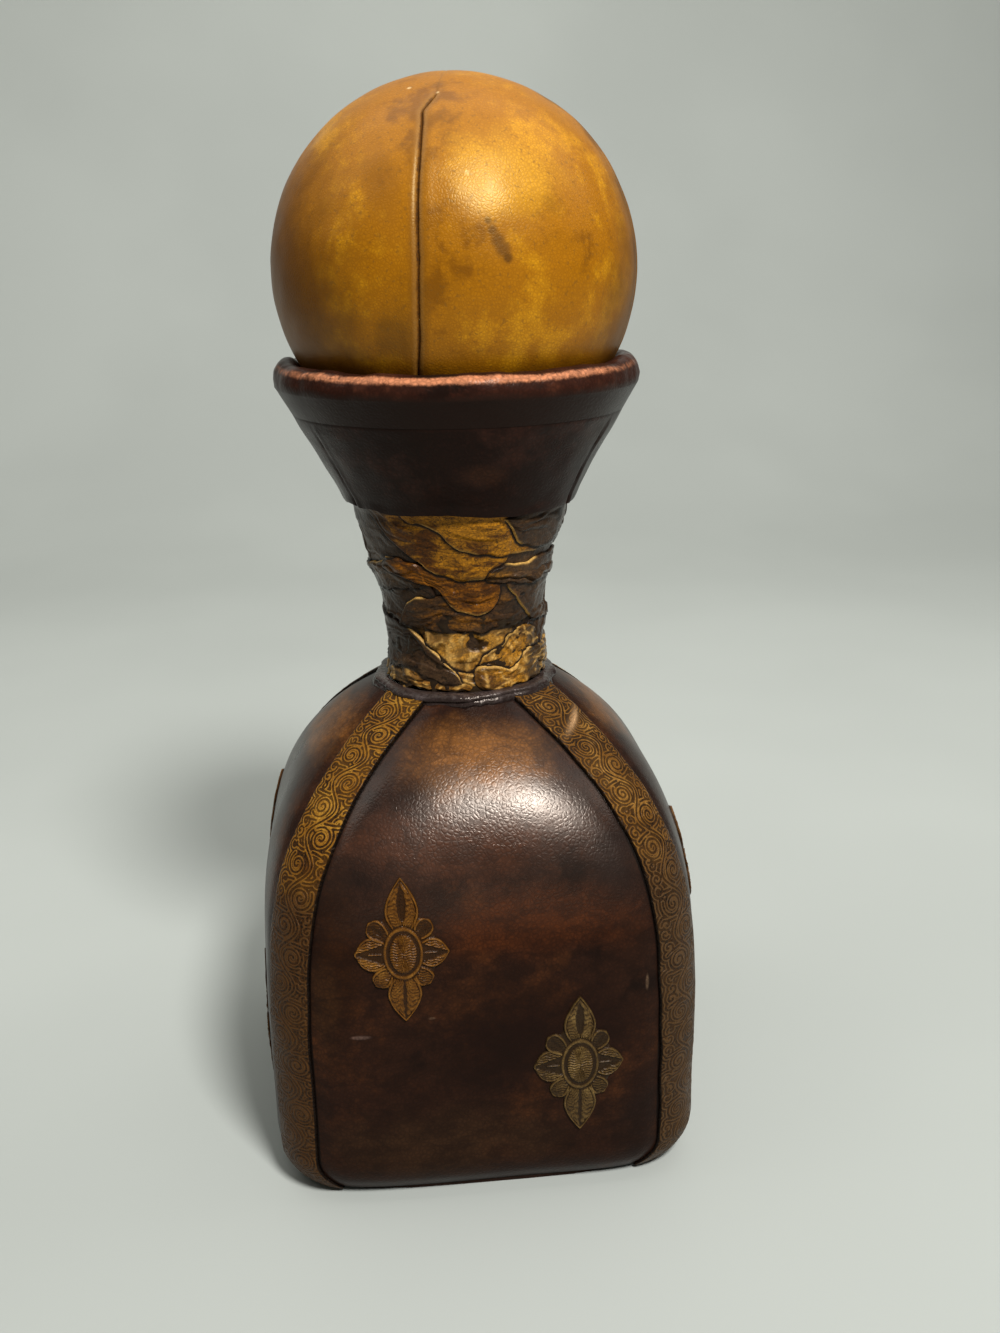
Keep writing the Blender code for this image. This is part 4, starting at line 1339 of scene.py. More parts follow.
@dataclass(frozen=True)
class NeckCover:
    """Smooth dark leather cone under the rim, its edge and heights in millimetres."""

    neck: NeckForm
    low: float
    high: float
    steps: int = 300
    rows: int = 46
    lift: float = 1.4 * MM
    thickness: float = 1.2 * MM
    uneven: float = 0.16
    ragged: float = 0.15
    lip_rise: float = 0.25
    seam_swell: float = 0.25
    seam_groove: float = 0.45
    tuck: float = 0.6
    edge: Outline = (
        (-180, 153.6), (-120, 154.4), (-60, 155.0), (-35, 154.2), (-10, 155.0), (5, 154.0),
        (20, 153.5), (50, 154.0), (90, 154.6), (130, 153.7), (180, 153.6))
    seams: Tuple[float, ...] = (-62.0, 58.0)

    def shape(self, points: Field) -> Bent:
        """Pull the leather to its seams and its ragged lower edge."""
        radius, bearing, z = to_round(points)
        near = Ripple(42, 7 * MM, 24)(points)
        share = (z - self.low) / (self.high - self.low)
        edge = np.interp(bearing, *zip(*self.edge)) * MM + self.ragged * MM * near
        raised = z + (edge - self.low) * np.clip(1 - share, 0.0, 1.0)
        radius = radius + self.neck.radius(raised) - self.neck.radius(z)
        outside = radius - self.neck.radius(raised) > self.lift + self.thickness / 2
        lip = 1 - smooth_step(share, 0.0, 0.10)
        push = self.uneven * Ripple(41, 26 * MM, 20)(points) + 0.05 * near + self.lip_rise * lip
        for seam in self.seams:
            off = np.radians(bearing - seam) * radius / MM + 0.6 * np.sin(share * 5)
            push = push + self.seam_swell * bump_at(off, 0.9, 0.9)
            push = push - self.seam_groove * bump_at(off, -0.1, 0.40)
        above = (raised - SKIRT) / MM
        push = push * (1 - smooth_step(above, -3.0, 0.0))
        push = push - self.tuck * smooth_step(above, -0.1, 0.7)
        radius = np.where(outside, radius + push * MM, radius)
        return from_round(radius, bearing, raised), {"crest": 0.25 * lip}

    def build(self, finish: Material) -> None:
        """Make the cover."""
        inner = [(self.neck.radius(z) + self.lift, z)
                 for z in np.linspace(self.low, self.high, self.rows)]
        outer = [(radius + self.thickness, z) for radius, z in reversed(inner)]
        piece = turned("neck_cover_leather", outer + inner, self.steps, self.shape)
        dress(piece, finish, "cover_leather", Body.DECANTER, "neck_cover")


@dataclass(frozen=True)
class Rim:
    """Leather rolled over the lip of the mouth."""

    neck: NeckForm
    middle: Tuple[float, float]
    roll: float
    lip_z: float
    steps: int = 400
    points: int = 34
    cover_lift: float = 2.6 * MM
    tuck: float = 0.30 * MM

    def outline(self) -> Outline:
        """Return the roll's outline, with the channel that grips the lip."""
        out, up = self.middle
        angle = np.radians(210.0 - 200.0 * np.arange(self.points + 1) / self.points)
        made = list(zip(out + self.roll * np.cos(angle), up + self.roll * np.sin(angle)))
        tip, tip_z = made[-1]
        made += [(tip + 0.22 * MM, tip_z - 0.8 * MM), (tip + 0.26 * MM, tip_z - 1.6 * MM)]
        made += [(self.neck.radius(z) + self.cover_lift + 0.03 * (z - SKIRT), z)
                 for z in np.linspace(up - 2.2 * MM, SKIRT, 22)]
        foot, roof = up - 0.8 * self.roll, self.lip_z + GLUE
        side = GLUE * math.hypot(1.0, self.neck.slope)
        for off, z in ((self.cover_lift - self.tuck, SKIRT), (self.cover_lift - self.tuck, foot),
                       (side, foot), (side, roof), (-self.neck.wall - side, roof),
                       (-self.neck.wall - side, made[0][1])):
            made.append((self.neck.radius(z) + off, z))
        return made

    def shape(self, points: Field) -> Bent:
        """Make the roll uneven, and mark its top for rubbed wear and a painted highlight."""
        radius, bearing, z = to_round(points)
        out, up = (radius - self.middle[0]) / self.roll, (z - self.middle[1]) / self.roll
        skin = smooth_step(np.hypot(out, up), 0.90, 0.99)
        above = np.clip(up, 0.0, 1.0)
        inside = np.clip(-out - 0.2, 0.0, 1.0)
        hem = smooth_step(-up, 0.1, 1.0)
        push = sum(depth * Ripple(seed, size * MM, waves)(points) for depth, seed, size, waves in (
            (0.20, 51, 17, 20), (0.06, 52, 4.2, 26), (0.012, 53, 1.6, 26)))
        push = push - 0.45 * bump_at(bearing, -12.0, 38.0) * above ** 2
        push = MM * np.clip(push, -0.8, 0.7) * skin * (1 - 0.9 * inside) * (1 - 0.85 * hem)
        tips = bump_at(np.abs(bearing), 84.0, 16.0) * skin * (1 - inside)
        radius = radius + push * np.clip(out, -1.0, 1.0)
        z = z + (push + 0.5 * MM * tips) * above
        # Painted highlight with rubbed wear, on the top of the roll and strongest at the front.
        crest = bump_at(np.degrees(np.arctan2(up, out)), 37.0, 19.0)
        crest = crest * (0.20 + 1.25 * bump_at(bearing, -6.0, 60.0)) * np.where(up > 0.0, 1.0, 0.5)
        return from_round(radius, bearing, z), {"crest": crest, "hem": hem}

    def build(self, finish: Material) -> None:
        """Make the rim."""
        piece = turned("rim_leather", self.outline(), self.steps, self.shape)
        dress(piece, finish, "copper_leather", Body.DECANTER, "rim_roll")


# Leather on the ball

@dataclass(frozen=True)
class BallCover:
    """Four leather gores sewn over the stopper's ball, with seams as (latitude, turn).

    The heights of its shapes are in millimetres, and low and high are latitudes in degrees.
    """

    middle_z: float
    radius: float
    size: Tuple[int, int] = (84, 116)
    thickness: float = 1.4 * MM
    swell: float = 0.13
    groove: float = 0.62
    groove_half: float = 0.80
    groove_fade: float = 0.88
    uneven: float = 0.05
    grain: float = 0.03
    rim_drop: float = 0.5
    low: float = -61.0
    high: float = 89.6
    front_seam: Outline = (
        (-62.0, 252.2), (-29.0, 253.0), (-18.0, 254.9), (-7.0, 255.5), (4.0, 256.0),
        (14.0, 255.8), (25.0, 255.6), (35.0, 255.5), (45.0, 254.7), (49.5, 253.8),
        (54.0, 256.4), (57.0, 258.4), (90.0, 258.4))
    seams: Tuple[float, ...] = (342.0, 434.0, 525.0)

    def seam_turn(self, number: int, latitude: Field) -> Field:
        """Return the turn in degrees of a seam at each latitude. Seam 4 is the front one again."""
        if number % 4 == 0:
            return np.interp(latitude, *zip(*self.front_seam)) + 90.0 * number
        return self.seams[number - 1] + 1.4 * np.sin(np.radians(latitude * 3.1 + 70.0 * number))

    def shape(self, number: int, flat: Field) -> Bent:
        """Bend a flat sheet round the ball.

        Args:
            number: Number of the seam at which the gore starts.
            flat: The sheet's points.

        Returns:
            Their new places, and values to store.
        """
        u, v, w = flat.T
        latitude = self.low + (self.high - self.low) * (v + 1) / 2
        start, end = (self.seam_turn(seam, latitude) for seam in (number, number + 1))
        turn = start + (end - start) * (0.5 + 0.5 * np.sign(u) * np.abs(u) ** 0.85)
        out, up = (way(np.radians(latitude)) * self.radius for way in (np.cos, np.sin))
        gap = np.radians(np.minimum(turn - start, end - turn)) * out / MM
        place = on_turn(out, np.radians(turn), up)
        depth = 1 - self.groove_fade * smooth_step(latitude, 55.0, 60.0)
        groove = self.groove * (1 - round_edge(gap, self.groove_half))
        lift = depth * (self.swell * bump_at(gap, 1.7, 1.3) - groove)
        lift = lift + self.uneven * Ripple(61, 34 * MM, 16)(place)
        lift = lift + self.grain * Ripple(62, 9 * MM, 24)(place)
        rim_gap = np.radians(latitude - self.low) * self.radius
        lift = lift - self.rim_drop * (1 - round_edge(rim_gap, 1.0 * MM))
        off = np.where(w > 0.5, lift * MM, -self.thickness) / self.radius
        points = place * (1 + off)[:, None] + (0.0, 0.0, self.middle_z)
        return points, {"seam_gap": gap, "seam_depth": depth}

    def build(self, finish: Material) -> None:
        """Make the gores."""
        for number in range(4):
            name = f"ball_gore_{number + 1}"
            piece = sheet(name + "_leather", self.size, partial(self.shape, number))
            dress(piece, finish, "tan_leather", Body.STOPPER, name)


# Finishes of the pieces kept from the model

@dataclass(frozen=True)
class WoodFinish:
    """Plain turned wood with growth rings and fine pores."""

    name: str
    light: Colour
    dark: Colour

    def build(self) -> Material:
        """Return the material."""
        material, tree, shader = start_material(self.name)
        drawn = tree.place(0.12)
        rings = tree.noise(drawn, 0.006, 4.0, 0.6, 1.2)
        pores = tree.noise(drawn, 0.0006, 2.0)
        colour = tree.blend(tree.climb(rings, 0.40, 0.62), self.dark, self.light)
        speck = tree.climb(pores, 0.60, 0.72, 0.0, 0.5)
        tree.feed(shader["Base Color"], tree.blend(speck, colour, self.dark))
        tree.feed(shader["Roughness"], tree.climb(pores, 0.3, 0.7, 0.48, 0.68))
        tree.bump(shader, pores, 0.00005)
        return material


@dataclass(frozen=True)
class CorkFinish:
    """Natural cork: pale grains with dark pits."""

    name: str
    light: Colour
    dark: Colour

    def build(self) -> Material:
        """Return the material."""
        material, tree, shader = start_material(self.name)
        place = tree.place()
        grains = tree.add("TexVoronoi", {"Vector": place, "Scale": 900.0})
        pit = tree.climb(tree.noise(place, 0.0018, 4.0, 0.7), 0.58, 0.66)
        colour = tree.blend(tree.climb(grains.outputs["Distance"], 0.1, 0.6), self.light, self.dark)
        tree.feed(shader["Base Color"], tree.blend(pit, colour, self.dark))
        tree.feed(shader["Roughness"], 0.86)
        tree.bump(shader, tree.math("SUBTRACT", 1.0, pit), 0.0003)
        return material


@dataclass(frozen=True)
class GlassFinish:
    """Thick moulded glass with faint waves."""

    name: str
    tint: Colour

    def build(self) -> Material:
        """Return the material."""
        material, tree, shader = start_material(self.name)
        for socket, value in (("Base Color", self.tint), ("Transmission Weight", 1.0),
                              ("IOR", 1.5)):
            tree.feed(shader[socket], value)
        waves = tree.noise(tree.place(), 0.018, 2.0)
        tree.feed(shader["Roughness"], tree.climb(waves, 0.3, 0.7, 0.02, 0.09))
        tree.bump(shader, waves, 0.0004, 0.4)
        return material


# What the photo shows of the wrap, in the order in which its bands lie on each other

def round_the_back() -> Tuple[Band, ...]:
    """Return guessed criss-cross bands round the sides and back of the neck."""
    draw = np.random.default_rng(12)
    bands = []
    for index in range(9):
        start = 62.0 + 24.0 * (index % 5) + draw.uniform(-6, 6)
        span = draw.uniform(105, 125)
        middle = 117.0 + 4.3 * ((index * 4) % 9)
        lean = draw.uniform(4.5, 7.5) * (1 if index % 2 else -1)
        half = draw.uniform(10.5, 13.0) / 2
        line = [(start + span * (1 + share) / 2, min(max(middle + lean * share, 118.0), 150.0))
                for share in (-1, 0, 1)]
        bands.append(Band(f"back_{index + 1}", [(way, z - half) for way, z in line],
                          [(way, min(z + half, 156.0)) for way, z in line], 0.0, 20 + index,
                          ((UP, start + 20, start + 45),), "" if index else "rising_1"))
    return tuple(bands)


LINING = Band("lining", ((-100, 112.2), (0, 112.0), (100, 112.2)),
              ((-100, 128.5), (-40, 129.5), (0, 131.5), (50, 129.0), (100, 128.5)), 1.7, 2,
              node="falling_1", crumple=1.5, hole=(9.0, 123.0, 13.0, 1.3))
FRONT_BANDS = (
    Band("left_upper", ((-100, 138), (-60, 139.5), (-28, 141)),
         ((-100, 155.5), (-60, 156), (-28, 156)), 0.1, 3, node="falling_2"),
    Band("left_low", ((-100, 127), (-75, 127.5), (-70, 128.5), (-60, 128), (-50, 127), (-22, 128)),
         ((-100, 140.5), (-60, 140.5), (-22, 139)), 0.25, 4, ((DOWN, -95, -70),), "rising_2"),
    Band("left_mid", ((-92, 134), (-60, 135), (-28, 137)),
         ((-92, 139.8), (-80, 140.5), (-70, 141), (-60, 142), (-54, 144), (-48, 143.6),
          (-28, 142.5)), 0.3, 5, ((UP, -78, -50),)),
    Band("dark_cross", ((-53, 126.6), (-40, 127), (0, 126.4), (30, 126.8), (54, 128)),
         ((-53, 128.4), (-50, 130), (-45, 132.5), (-37, 134), (-28, 134.5), (-22, 135.3),
          (0, 136.5), (30, 138), (54, 139)), 0.45, 6, ((UP, -50, -32),), "rising_3", amber=0.6),
    Band("orange_leaf", ((-60, 140), (-50, 139.5), (-40, 138.8), (-30, 138), (-22, 136.8),
                         (-18, 135.5), (-13, 133), (-8, 131.5), (-2, 131), (5, 130.5), (15, 131),
                         (20, 131.2)),
         ((-60, 142), (-45, 143.5), (-30, 142.8), (-20, 142.5), (0, 142), (20, 141)), 1.25, 7,
         ((DOWN, -14, 12),), "falling_3", amber=0.85),
    Band("gold_fall", ((-64, 154.5), (-55, 152), (-47, 148), (-38, 145), (-30, 143), (-25, 141.5),
                       (-20, 140.5), (-8, 139.5), (0, 139), (8, 139), (18, 141), (24, 141.5)),
         ((-64, 157), (-30, 157), (0, 156.5), (24, 150)), 1.2, 8,
         ((DOWN, -30, -18), (DOWN, 0, 10)), "falling_4"),
    Band("right_low", ((44, 119.8), (48, 120), (55, 118.5), (62, 116), (72, 114.5), (96, 114)),
         ((44, 126), (60, 127.5), (96, 128)), 0.2, 9, ((DOWN, 50, 66),)),
    Band("right_fall", ((24, 136.2), (32, 134), (40, 131), (46, 128.5), (52, 127.3), (60, 126.5),
                        (70, 126), (98, 124.5)),
         ((24, 140), (45, 139.5), (70, 139), (98, 138)), 0.55, 10, ((DOWN, 26, 48),), "rising_5",
         amber=0.7),
    Band("right_mid", ((10, 137.5), (22, 138), (35, 137), (45, 136), (62, 136.5), (92, 137)),
         ((10, 141.2), (22, 142), (45, 142.3), (70, 142.5), (92, 142)), 0.4, 11, ((UP, 24, 46),)),
    Band("gold_upper", ((-37, 154), (-35, 153), (-27, 152.8), (-22, 151.5), (-15, 150),
                        (-12, 148.5), (-5, 146.5), (0, 145.7), (5, 145), (15, 144.5), (30, 144.5),
                        (45, 144), (62, 145)),
         ((-37, 156.5), (0, 156.5), (62, 156.5)), 1.1, 12, ((DOWN, -24, 4), (DOWN, 26, 44)),
         "falling_5"),
    Band("right_flap", ((18, 152.5), (20, 152), (23, 150.5), (28, 147.5), (31, 146.5), (45, 144.8),
                        (60, 144.5), (90, 145.5)),
         ((18, 153.2), (40, 155), (90, 156)), 0.3, 13, ((DOWN, 18, 30),)),
    Band("left_foot_gold", ((-75, 112.6), (-30, 112.5), (14, 112.6)),
         ((-75, 117.5), (-50, 118.5), (-30, 118.0), (-10, 117.0), (14, 115.5)), 1.1, 17,
         crumple=0.7, amber=0.5),
    Band("left_foot_flap", ((-115, 116), (-80, 115.8), (-60, 116.5), (-45, 117.0), (-30, 115.5),
                            (-20, 114.2), (-6, 113.6)),
         ((-115, 131), (-75, 128), (-50, 127), (-45, 126.5), (-38, 124.5), (-33, 123), (-27, 121.5),
          (-22, 120), (-15, 118), (-8, 116), (-6, 114.5)), 0.05, 14, ((UP, -46, -8),), "rising_4"),
    Band("right_foot_gold", ((5, 113), (30, 112.8), (62, 113)),
         ((5, 119.5), (10, 121), (20, 122), (30, 124.5), (38, 126.3), (50, 126), (62, 124)),
         1.7, 15, ((UP, 8, 40),), crumple=0.6),
    Band("right_foot_flap", ((2, 112.6), (20, 112.4), (60, 112.6), (104, 112.8)),
         ((2, 118.6), (10, 118.3), (20, 117), (30, 116.5), (38, 117.8), (45, 119.5), (50, 120.5),
          (75, 120), (104, 122)), 1.25, 16, ((UP, 4, 50),), crumple=0.45),
)


# Leather finishes

PANEL_FULL = (0.027, 0.0100, 0.0055)
PANEL_DEEP = (0.0095, 0.0042, 0.0030)
AMBER = (0.270, 0.102, 0.020)
RED = (0.085, 0.0210, 0.0050)
FRONT_PATCHES = (
    Patch((0, -34, 101), (19, 20, 9), AMBER, 0.85, 1.0),
    Patch((10, -49, 69), (27, 12, 9), RED, 0.75),
    Patch((9, -49, 41), (26, 12, 17), (0.0110, 0.0042, 0.0030), 0.85, 1.0),
    Patch((-10, -49, 15), (30, 12, 12), (0.042, 0.0190, 0.0085), 0.75),
    Patch((-33, -47, 64), (6, 14, 27), (0.030, 0.010, 0.0035), 0.75),
    Patch((-6, -43, 87), (30, 14, 10), (0.085, 0.027, 0.011), 0.75),
    Patch((30, -46, 82), (7, 14, 12), (0.014, 0.0065, 0.0050), 0.7, 1.3),
    Patch((34, -50, 17), (8, 10, 12), (0.012, 0.0070, 0.0060), 0.7),
    Patch((-28.6, -50.3, 44.2), (2.6, 3, 0.65), (0.22, 0.13, 0.10), 0.8, 0.5),
    Patch((-13, -50.6, 48), (0.9, 3, 0.4), (0.13, 0.07, 0.04), 0.8, 0.5),
    Patch((35.4, -49.4, 52.2), (0.5, 3, 2.2), (0.20, 0.12, 0.07), 0.8, 0.4),
    Patch((-36, -46, 52), (4, 10, 14), (0.050, 0.020, 0.007), 0.6, 1.4))


def side_patches(middle: float) -> Tuple[Patch, ...]:
    """Return guessed coloured places of a face other than the front, turned to its middle."""
    made = []
    for out, across, z, reach, height, colour in (
            (34, 2, 101, 18, 9, AMBER), (49, -8, 66, 24, 11, RED),
            (49, 10, 40, 24, 16, (0.020, 0.010, 0.0085)),
            (49, -12, 16, 24, 11, (0.040, 0.018, 0.010))):
        x = out * math.cos(middle) - across * math.sin(middle)
        y = out * math.sin(middle) + across * math.cos(middle)
        made.append(Patch((x, y, z), (reach, reach, height), colour, 0.7, 1.4))
    return tuple(made)


def panel_leather(side: Side) -> LeatherFinish:
    """Return the leather of a face's panel."""
    front = side is Side.FRONT
    return LeatherFinish(
        side.name.lower() + "_panel_leather", PANEL_FULL, (0.075, 0.024, 0.0080), PANEL_DEEP, 34.0,
        (0.27, 0.35), grain_cell=1.0, grain_depth=0.035, creases=0.45, specular=0.07,
        patches=FRONT_PATCHES if front else side_patches(side.value), streaks=0.5,
        polished=(64.0, 84.0, 0.74 if front else 0.25, 104.0), edge_ink_and_shade=SEAM_INK_AND_SHADE, edge_reach=0.50)


def ball_patches() -> Tuple[Patch, ...]:
    """Return the ball's coloured places: stains, painted shade, a painted highlight, and the dark
    line of its right seam last.
    """
    dark, smudge, pale = (0.060, 0.022, 0.004), (0.110, 0.042, 0.007), (0.86, 0.62, 0.30)
    middle_z, radius, limb = 204.2, 39.8, math.radians(346.5)
    made = [Patch((x, y, z + middle_z), (reach, reach, reach), colour, 0.85, 0.7)
            for x, y, z, reach, colour in (
                (0.4, -35.5, 18.5, 0.6, pale), (-9.2, -16.4, 35.3, 0.6, pale),
                (-3.9, -20.6, 34.1, 0.5, pale), (3.9, -38.6, 9.7, 0.9, dark),
                (4.7, -39.0, 8.0, 1.3, smudge), (5.7, -39.1, 6.2, 1.8, smudge),
                (6.7, -39.1, 4.4, 1.8, smudge), (7.6, -39.1, 2.8, 1.2, dark))]
    # Painted shade on the left limb, the underside and the right limb.
    made += [Patch((-38, -12, 194), (24, 38, 42), (0.120, 0.040, 0.002), 0.95),
             Patch((0, -10, 166), (50, 50, 27), (0.115, 0.044, 0.002), 0.95),
             Patch((38, -4, 192), (17, 34, 40), (0.120, 0.046, 0.002), 0.9, 1.0),
             Patch((-16, -32, 221), (4, 8, 12), (0.24, 0.086, 0.004), 0.6, 2.2),
             Patch((-15, -35, 191), (5, 6, 8), (0.12, 0.046, 0.003), 0.6, 2.0),
             Patch((-9.5, -38, 200), (2.2, 6, 22), (0.22, 0.080, 0.004), 0.5, 1.6),
             # Painted highlight on the upper front.
             Patch((9, -34, 222), (13, 10, 11), (0.66, 0.31, 0.012), 0.7, 1.4),
             # Painted shade low on the front, near the rim.
             Patch((-24, -24, 176), (22, 20, 9), (0.050, 0.018, 0.002), 0.8, 1.5),
             Patch((24, -22, 175), (18, 20, 7), (0.060, 0.022, 0.002), 0.7, 1.5)]
    for latitude in (58, 42, 24, 6, -12, -30):
        out, up = (radius * way(math.radians(latitude)) for way in (math.cos, math.sin))
        made.append(Patch((out * math.cos(limb), out * math.sin(limb), middle_z + up),
                          (4.0, 7.0, 10.0), (0.012, 0.005, 0.002), 1.0, 0.2))
    return tuple(made)


LEATHERS: Dict[str, LeatherFinish] = {
    "light_strip": ScrollLeather(
        "gilt_scroll_right", (0.165, 0.070, 0.011), (0.35, 0.170, 0.034), (0.080, 0.032, 0.008),
        roughness=(0.28, 0.44), low=(0.086, 0.046, 0.0180)),
    "dark_strip": ScrollLeather(
        "gilt_scroll_left", (0.27, 0.115, 0.012), (0.44, 0.215, 0.026), (0.115, 0.040, 0.006)),
    "upper_medallion": StampedLeather(
        "gilt_stamp_upper", (0.138, 0.052, 0.0065), (0.30, 0.130, 0.020), (0.060, 0.021, 0.005)),
    "lower_medallion": StampedLeather(
        "gilt_stamp_lower", (0.100, 0.056, 0.016), (0.26, 0.160, 0.050), (0.040, 0.022, 0.009),
        blotch=7.0, roughness=(0.32, 0.48)),
    # Darker copy for the faces other than the front: partly wear, partly painted shade.
    "worn_medallion": StampedLeather(
        "gilt_stamp_worn_and_shaded", (0.070, 0.028, 0.006), (0.16, 0.072, 0.016), (0.030, 0.012, 0.004),
        roughness=(0.34, 0.50), grain_depth=0.05, specular=0.08),
    "wrap": WrapLeather(
        "neck_wrap_leather", (0.050, 0.026, 0.013), (0.110, 0.060, 0.028), (0.016, 0.009, 0.005)),
    "cover": CopperLeather(
        "neck_cover_leather", (0.0130, 0.0046, 0.0032), (0.036, 0.0125, 0.0080),
        (0.0065, 0.0032, 0.0026), blotch=18.0, specular=0.10, bright=(0.100, 0.060, 0.040),
        # Painted sheen on the front of the cover.
        patches=(Patch((2, -29, 164), (7, 8, 3.2), (0.055, 0.020, 0.010), 0.6, 1.6),
                 Patch((24, -18, 170), (9, 9, 6), (0.040, 0.026, 0.020), 0.6, 1.4))),
    "foot_band": CopperLeather(
        "foot_band_leather", (0.026, 0.016, 0.014), (0.095, 0.070, 0.068), (0.014, 0.009, 0.008),
        blotch=10.0, roughness=(0.20, 0.34), grain_cell=0.9, grain_depth=0.06, specular=0.36,
        bright=(0.13, 0.090, 0.070)),
    "rim": CopperLeather(
        "rim_leather", (0.033, 0.0098, 0.0056), (0.062, 0.0190, 0.0098), (0.011, 0.0048, 0.0034),
        blotch=14.0, specular=0.13),
    "ball": BallLeather(
        "ball_leather", (0.36, 0.132, 0.0020), (0.56, 0.240, 0.0050), (0.20, 0.068, 0.0015),
        patches=ball_patches()),
    "sole": LeatherFinish("sole_leather", PANEL_FULL, (0.055, 0.028, 0.016), PANEL_DEEP,
                          roughness=(0.5, 0.7), creases=0.2),
    "foot_disc": LeatherFinish(
        "foot_disc_leather", (0.42, 0.185, 0.026), (0.52, 0.26, 0.055), (0.25, 0.10, 0.014),
        roughness=(0.4, 0.55), grain_cell=0.7, grain_depth=0.06),
}


# Studio

@dataclass(frozen=True)
class Camera:
    """The photo's camera, found by fitting the model's outline to it."""

    place: Tuple[float, float, float] = (-0.0213, -0.2990, 0.2096)
    heading: float = math.radians(5.694)
    pitch: float = math.radians(18.007)
    roll: float = math.radians(-1.045)
    focal_pixels: float = 1300.0
    picture_height: int = 1333
    sensor: float = 36.0

    def build(self) -> None:
        """Add the camera."""
        data = bpy.data.cameras.new("camera")
        data.sensor_fit = "VERTICAL"
        data.sensor_width = data.sensor_height = self.sensor
        data.lens = self.focal_pixels * self.sensor / self.picture_height
        data.clip_start = 0.01
        ahead = Vector((math.sin(self.heading) * math.cos(self.pitch),
                        math.cos(self.heading) * math.cos(self.pitch), -math.sin(self.pitch)))
        right = ahead.cross(Vector((0, 0, 1))).normalized()
        up = right.cross(ahead)
        x_axis = math.cos(self.roll) * right + math.sin(self.roll) * up
        y_axis = -math.sin(self.roll) * right + math.cos(self.roll) * up
        turn = Matrix((x_axis, y_axis, -ahead)).transposed()
        camera = link("camera", data)
        camera.matrix_world = Matrix.Translation(self.place) @ turn.to_4x4()
        bpy.context.scene.camera = camera


@dataclass(frozen=True)
class Studio:
    """Pale floor and backdrop, one soft key light, a wash of light and an even fill."""

    floor_colour: Colour = (0.485, 0.505, 0.465)
    fill_colour: Colour = (0.56, 0.585, 0.545)
    fill: float = 0.17
    key_middle: Tuple[float, float, float] = (0.0, 0.0, 0.12)
    key_way: Tuple[float, float, float] = (0.22, -0.60, 0.76)
    wash_place: Tuple[float, float, float] = (0.0, 0.32, 0.80)
    wash_way: Tuple[float, float, float] = (0.0, -0.75, 0.66)
    half_width: float = 2.5
    front: float = -1.6
    back: float = 0.55
    curve: float = 0.5
    top: float = 2.2

    def floor(self) -> None:
        """Add the floor, which curves up behind the decanter."""
        builder = bmesh.new()
        angles = [math.radians(9 * step) for step in range(11)]
        line = [(self.front, 0.0)]
        line += [(self.back + self.curve * math.sin(angle), self.curve * (1 - math.cos(angle)))
                 for angle in angles]
        line.append((self.back + self.curve, self.top))
        edge = [builder.verts.new((-self.half_width, y, z)) for y, z in line]
        lines = [builder.edges.new(pair) for pair in zip(edge, edge[1:])]
        made = bmesh.ops.extrude_edge_only(builder, edges=lines)["geom"]
        far = [item for item in made if isinstance(item, bmesh.types.BMVert)]
        bmesh.ops.translate(builder, verts=far, vec=(2 * self.half_width, 0, 0))
        bmesh.ops.recalc_face_normals(builder, faces=builder.faces)
        if sum(face.normal.z for face in builder.faces) < 0:
            bmesh.ops.reverse_faces(builder, faces=builder.faces)
        floor = to_piece("floor", builder)
        floor.data.shade_smooth()
        material, tree, shader = start_material("floor_cloth")
        cloudy = tree.climb(tree.noise(tree.place(), 0.35, 3.0), 0.35, 0.65)
        darker = tuple(value * 0.93 for value in self.floor_colour)
        tree.feed(shader["Base Color"], tree.blend(cloudy, darker, self.floor_colour))
        tree.feed(shader["Roughness"], 0.9)
        tree.feed(shader["Specular IOR Level"], 0.1)
        floor.data.materials.append(material)
        floor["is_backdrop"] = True

    @staticmethod
    def lamp(name: str, way: Vector, place: Vector, **settings) -> None:
        """Add an area light that shines against a way, from a place, with its settings."""
        data = bpy.data.lights.new(name, "AREA")
        for setting, value in settings.items():
            setattr(data, setting, value)
        turn = way.to_track_quat("Z", "Y").to_matrix().to_4x4()
        link(name, data).matrix_world = Matrix.Translation(place) @ turn

    def build(self) -> None:
        """Set the scene up."""
        self.floor()
        way = Vector(self.key_way).normalized()
        self.lamp("key", way, Vector(self.key_middle) + way, shape="DISK", size=0.22, energy=12.0)
        self.lamp("wash", Vector(self.wash_way), Vector(self.wash_place), size=1.2, energy=6.0)
        world = bpy.data.worlds.new("fill")
        world.use_nodes = True
        ground = world.node_tree.nodes["Background"].inputs
        ground["Color"].default_value = (*self.fill_colour, 1.0)
        ground["Strength"].default_value = self.fill
        bpy.context.scene.world = world
        bpy.context.scene.view_settings.view_transform = "Standard"
        bpy.context.scene.view_settings.look = "None"


# The decanter

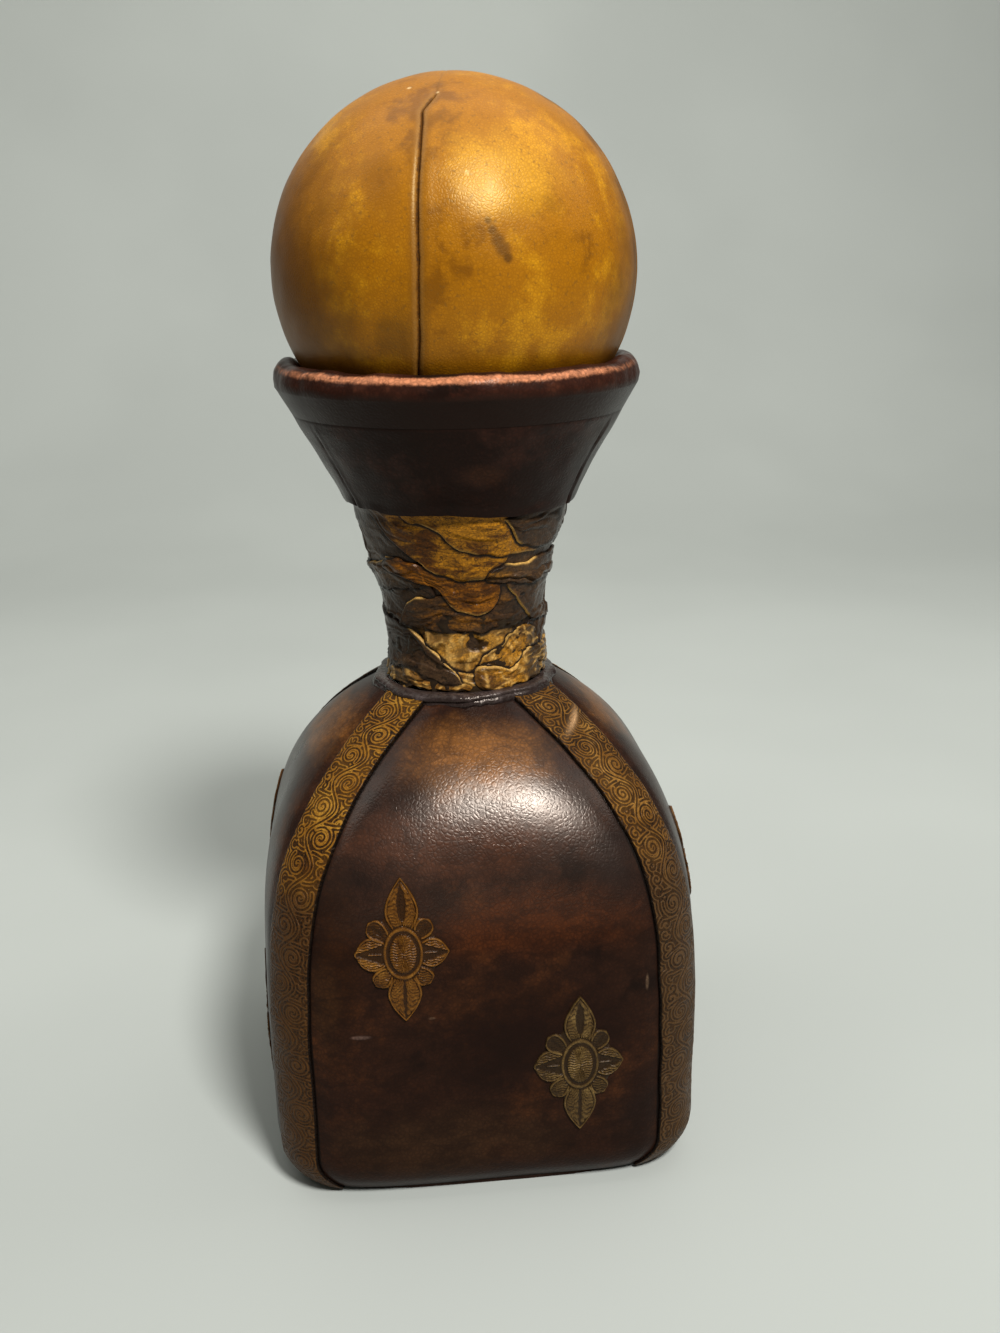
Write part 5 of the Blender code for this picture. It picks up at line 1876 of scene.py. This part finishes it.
class Decanter:
    """Every piece of the decanter in its finish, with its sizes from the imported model."""

    foot_overhang = 4.5 * MM
    waist_rise = 10.4 * MM
    ball_radius = 40.0 * MM

    def __init__(self) -> None:
        """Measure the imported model."""
        self.glass_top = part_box("glass_bottle")[1]
        self.band_low, self.band_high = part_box("neck_foot_band")
        self.cover_low, self.cover_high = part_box("neck_cover")
        foot_radius = self.band_high.x - self.foot_overhang
        self.body = BodyForm(self.glass_top.x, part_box("glass_bottle")[0].z, self.band_low.z,
                             foot_radius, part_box("front_panel")[1].z)
        self.neck = NeckForm(self.band_low.z, foot_radius, self.band_low.z + self.waist_rise,
                             self.cover_low.z - GLUE)
        self.effects = Effects()

    def leather(self, part: str) -> Material:
        """Return a new material in a part's leather."""
        return LEATHERS[part].build(self.effects)

    def build_body(self) -> None:
        """Make the leather on the body."""
        PanelSet(self.body).build({side: panel_leather(side).build(self.effects) for side in Side})
        light, dark = self.leather("light_strip"), self.leather("dark_strip")
        StripSet(self.body).build({"front_left": dark, "front_right": light, "back_left": light,
                                   "back_right": dark})
        upper, lower, worn = (self.leather(kind + "_medallion")
                              for kind in ("upper", "lower", "worn"))
        for side in Side:
            name = side.name.lower() + "_medallion_"
            # Faces other than the front get the darker copy, worn and painted with shade.
            first, second = (upper, lower) if side is Side.FRONT else (worn, worn)
            Medallion(self.body, -18.6 * MM, 64.2 * MM).build(name + "upper", side, first)
            Medallion(self.body, 19.9 * MM, 33.6 * MM, wear=0.4, stretch=1.08).build(
                name + "lower", side, second)

    def build_neck(self) -> None:
        """Make the leather on the neck and the mouth."""
        low, high = self.band_low.z - 1.7 * MM, self.band_high.z - 1.3 * MM
        FootBand((self.band_high.x - 2.15 * MM, (low + high) / 2),
                 (2.05 * MM, (high - low) / 2)).build(self.leather("foot_band"))
        bands = (LINING,) + round_the_back() + FRONT_BANDS
        NeckWrap(self.neck, bands).build(self.leather("wrap"))
        NeckCover(self.neck, self.cover_low.z, self.cover_high.z).build(self.leather("cover"))
        rim_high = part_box("rim_roll")[1]
        lip_z = self.glass_top.z
        roll = rim_high.z - lip_z - GLUE
        rim = Rim(self.neck, (rim_high.x - roll, lip_z + GLUE), roll, lip_z)
        rim.build(self.leather("rim"))

    def build_stopper(self) -> None:
        """Make the leather on the ball."""
        middle_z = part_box("ball_gore_1")[1].z - self.ball_radius
        BallCover(middle_z, self.ball_radius).build(self.leather("ball"))

    def dress_kept(self) -> None:
        """Give the nodes that stay their finishes."""
        wood = WoodFinish("turned_wood", (0.46, 0.30, 0.16), (0.30, 0.18, 0.085)).build()
        kept = {
            "ball_core": wood, "stopper_dowel": wood,
            "stopper_cork": CorkFinish(
                "natural_cork", (0.52, 0.36, 0.22), (0.24, 0.13, 0.07)).build(),
            "glass_bottle": GlassFinish("moulded_glass", (0.86, 0.93, 0.89)).build(),
            "base_sole": self.leather("sole"), "ball_foot_disc": self.leather("foot_disc"),
            "neck_sleeve": self.leather("wrap"), "mouth_cuff": self.leather("rim")}
        for node, material in kept.items():
            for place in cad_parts[node].material_slots:
                place.material = material

    def build(self) -> None:
        """Make everything."""
        self.build_body()
        self.build_neck()
        self.build_stopper()
        self.dress_kept()


def main() -> None:
    """Dress the decanter and set up the studio."""
    logging.basicConfig(level=logging.INFO, format="%(name)s: %(message)s")
    Decanter().build()
    Studio().build()
    Camera().build()
    boxes = {name: [list(corner) for corner in box]
             for name, box in (("cad", CAD_BOX), ("dressed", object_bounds()))}
    log.info("size %s", boxes)


if __name__ == "__main__":
    main()
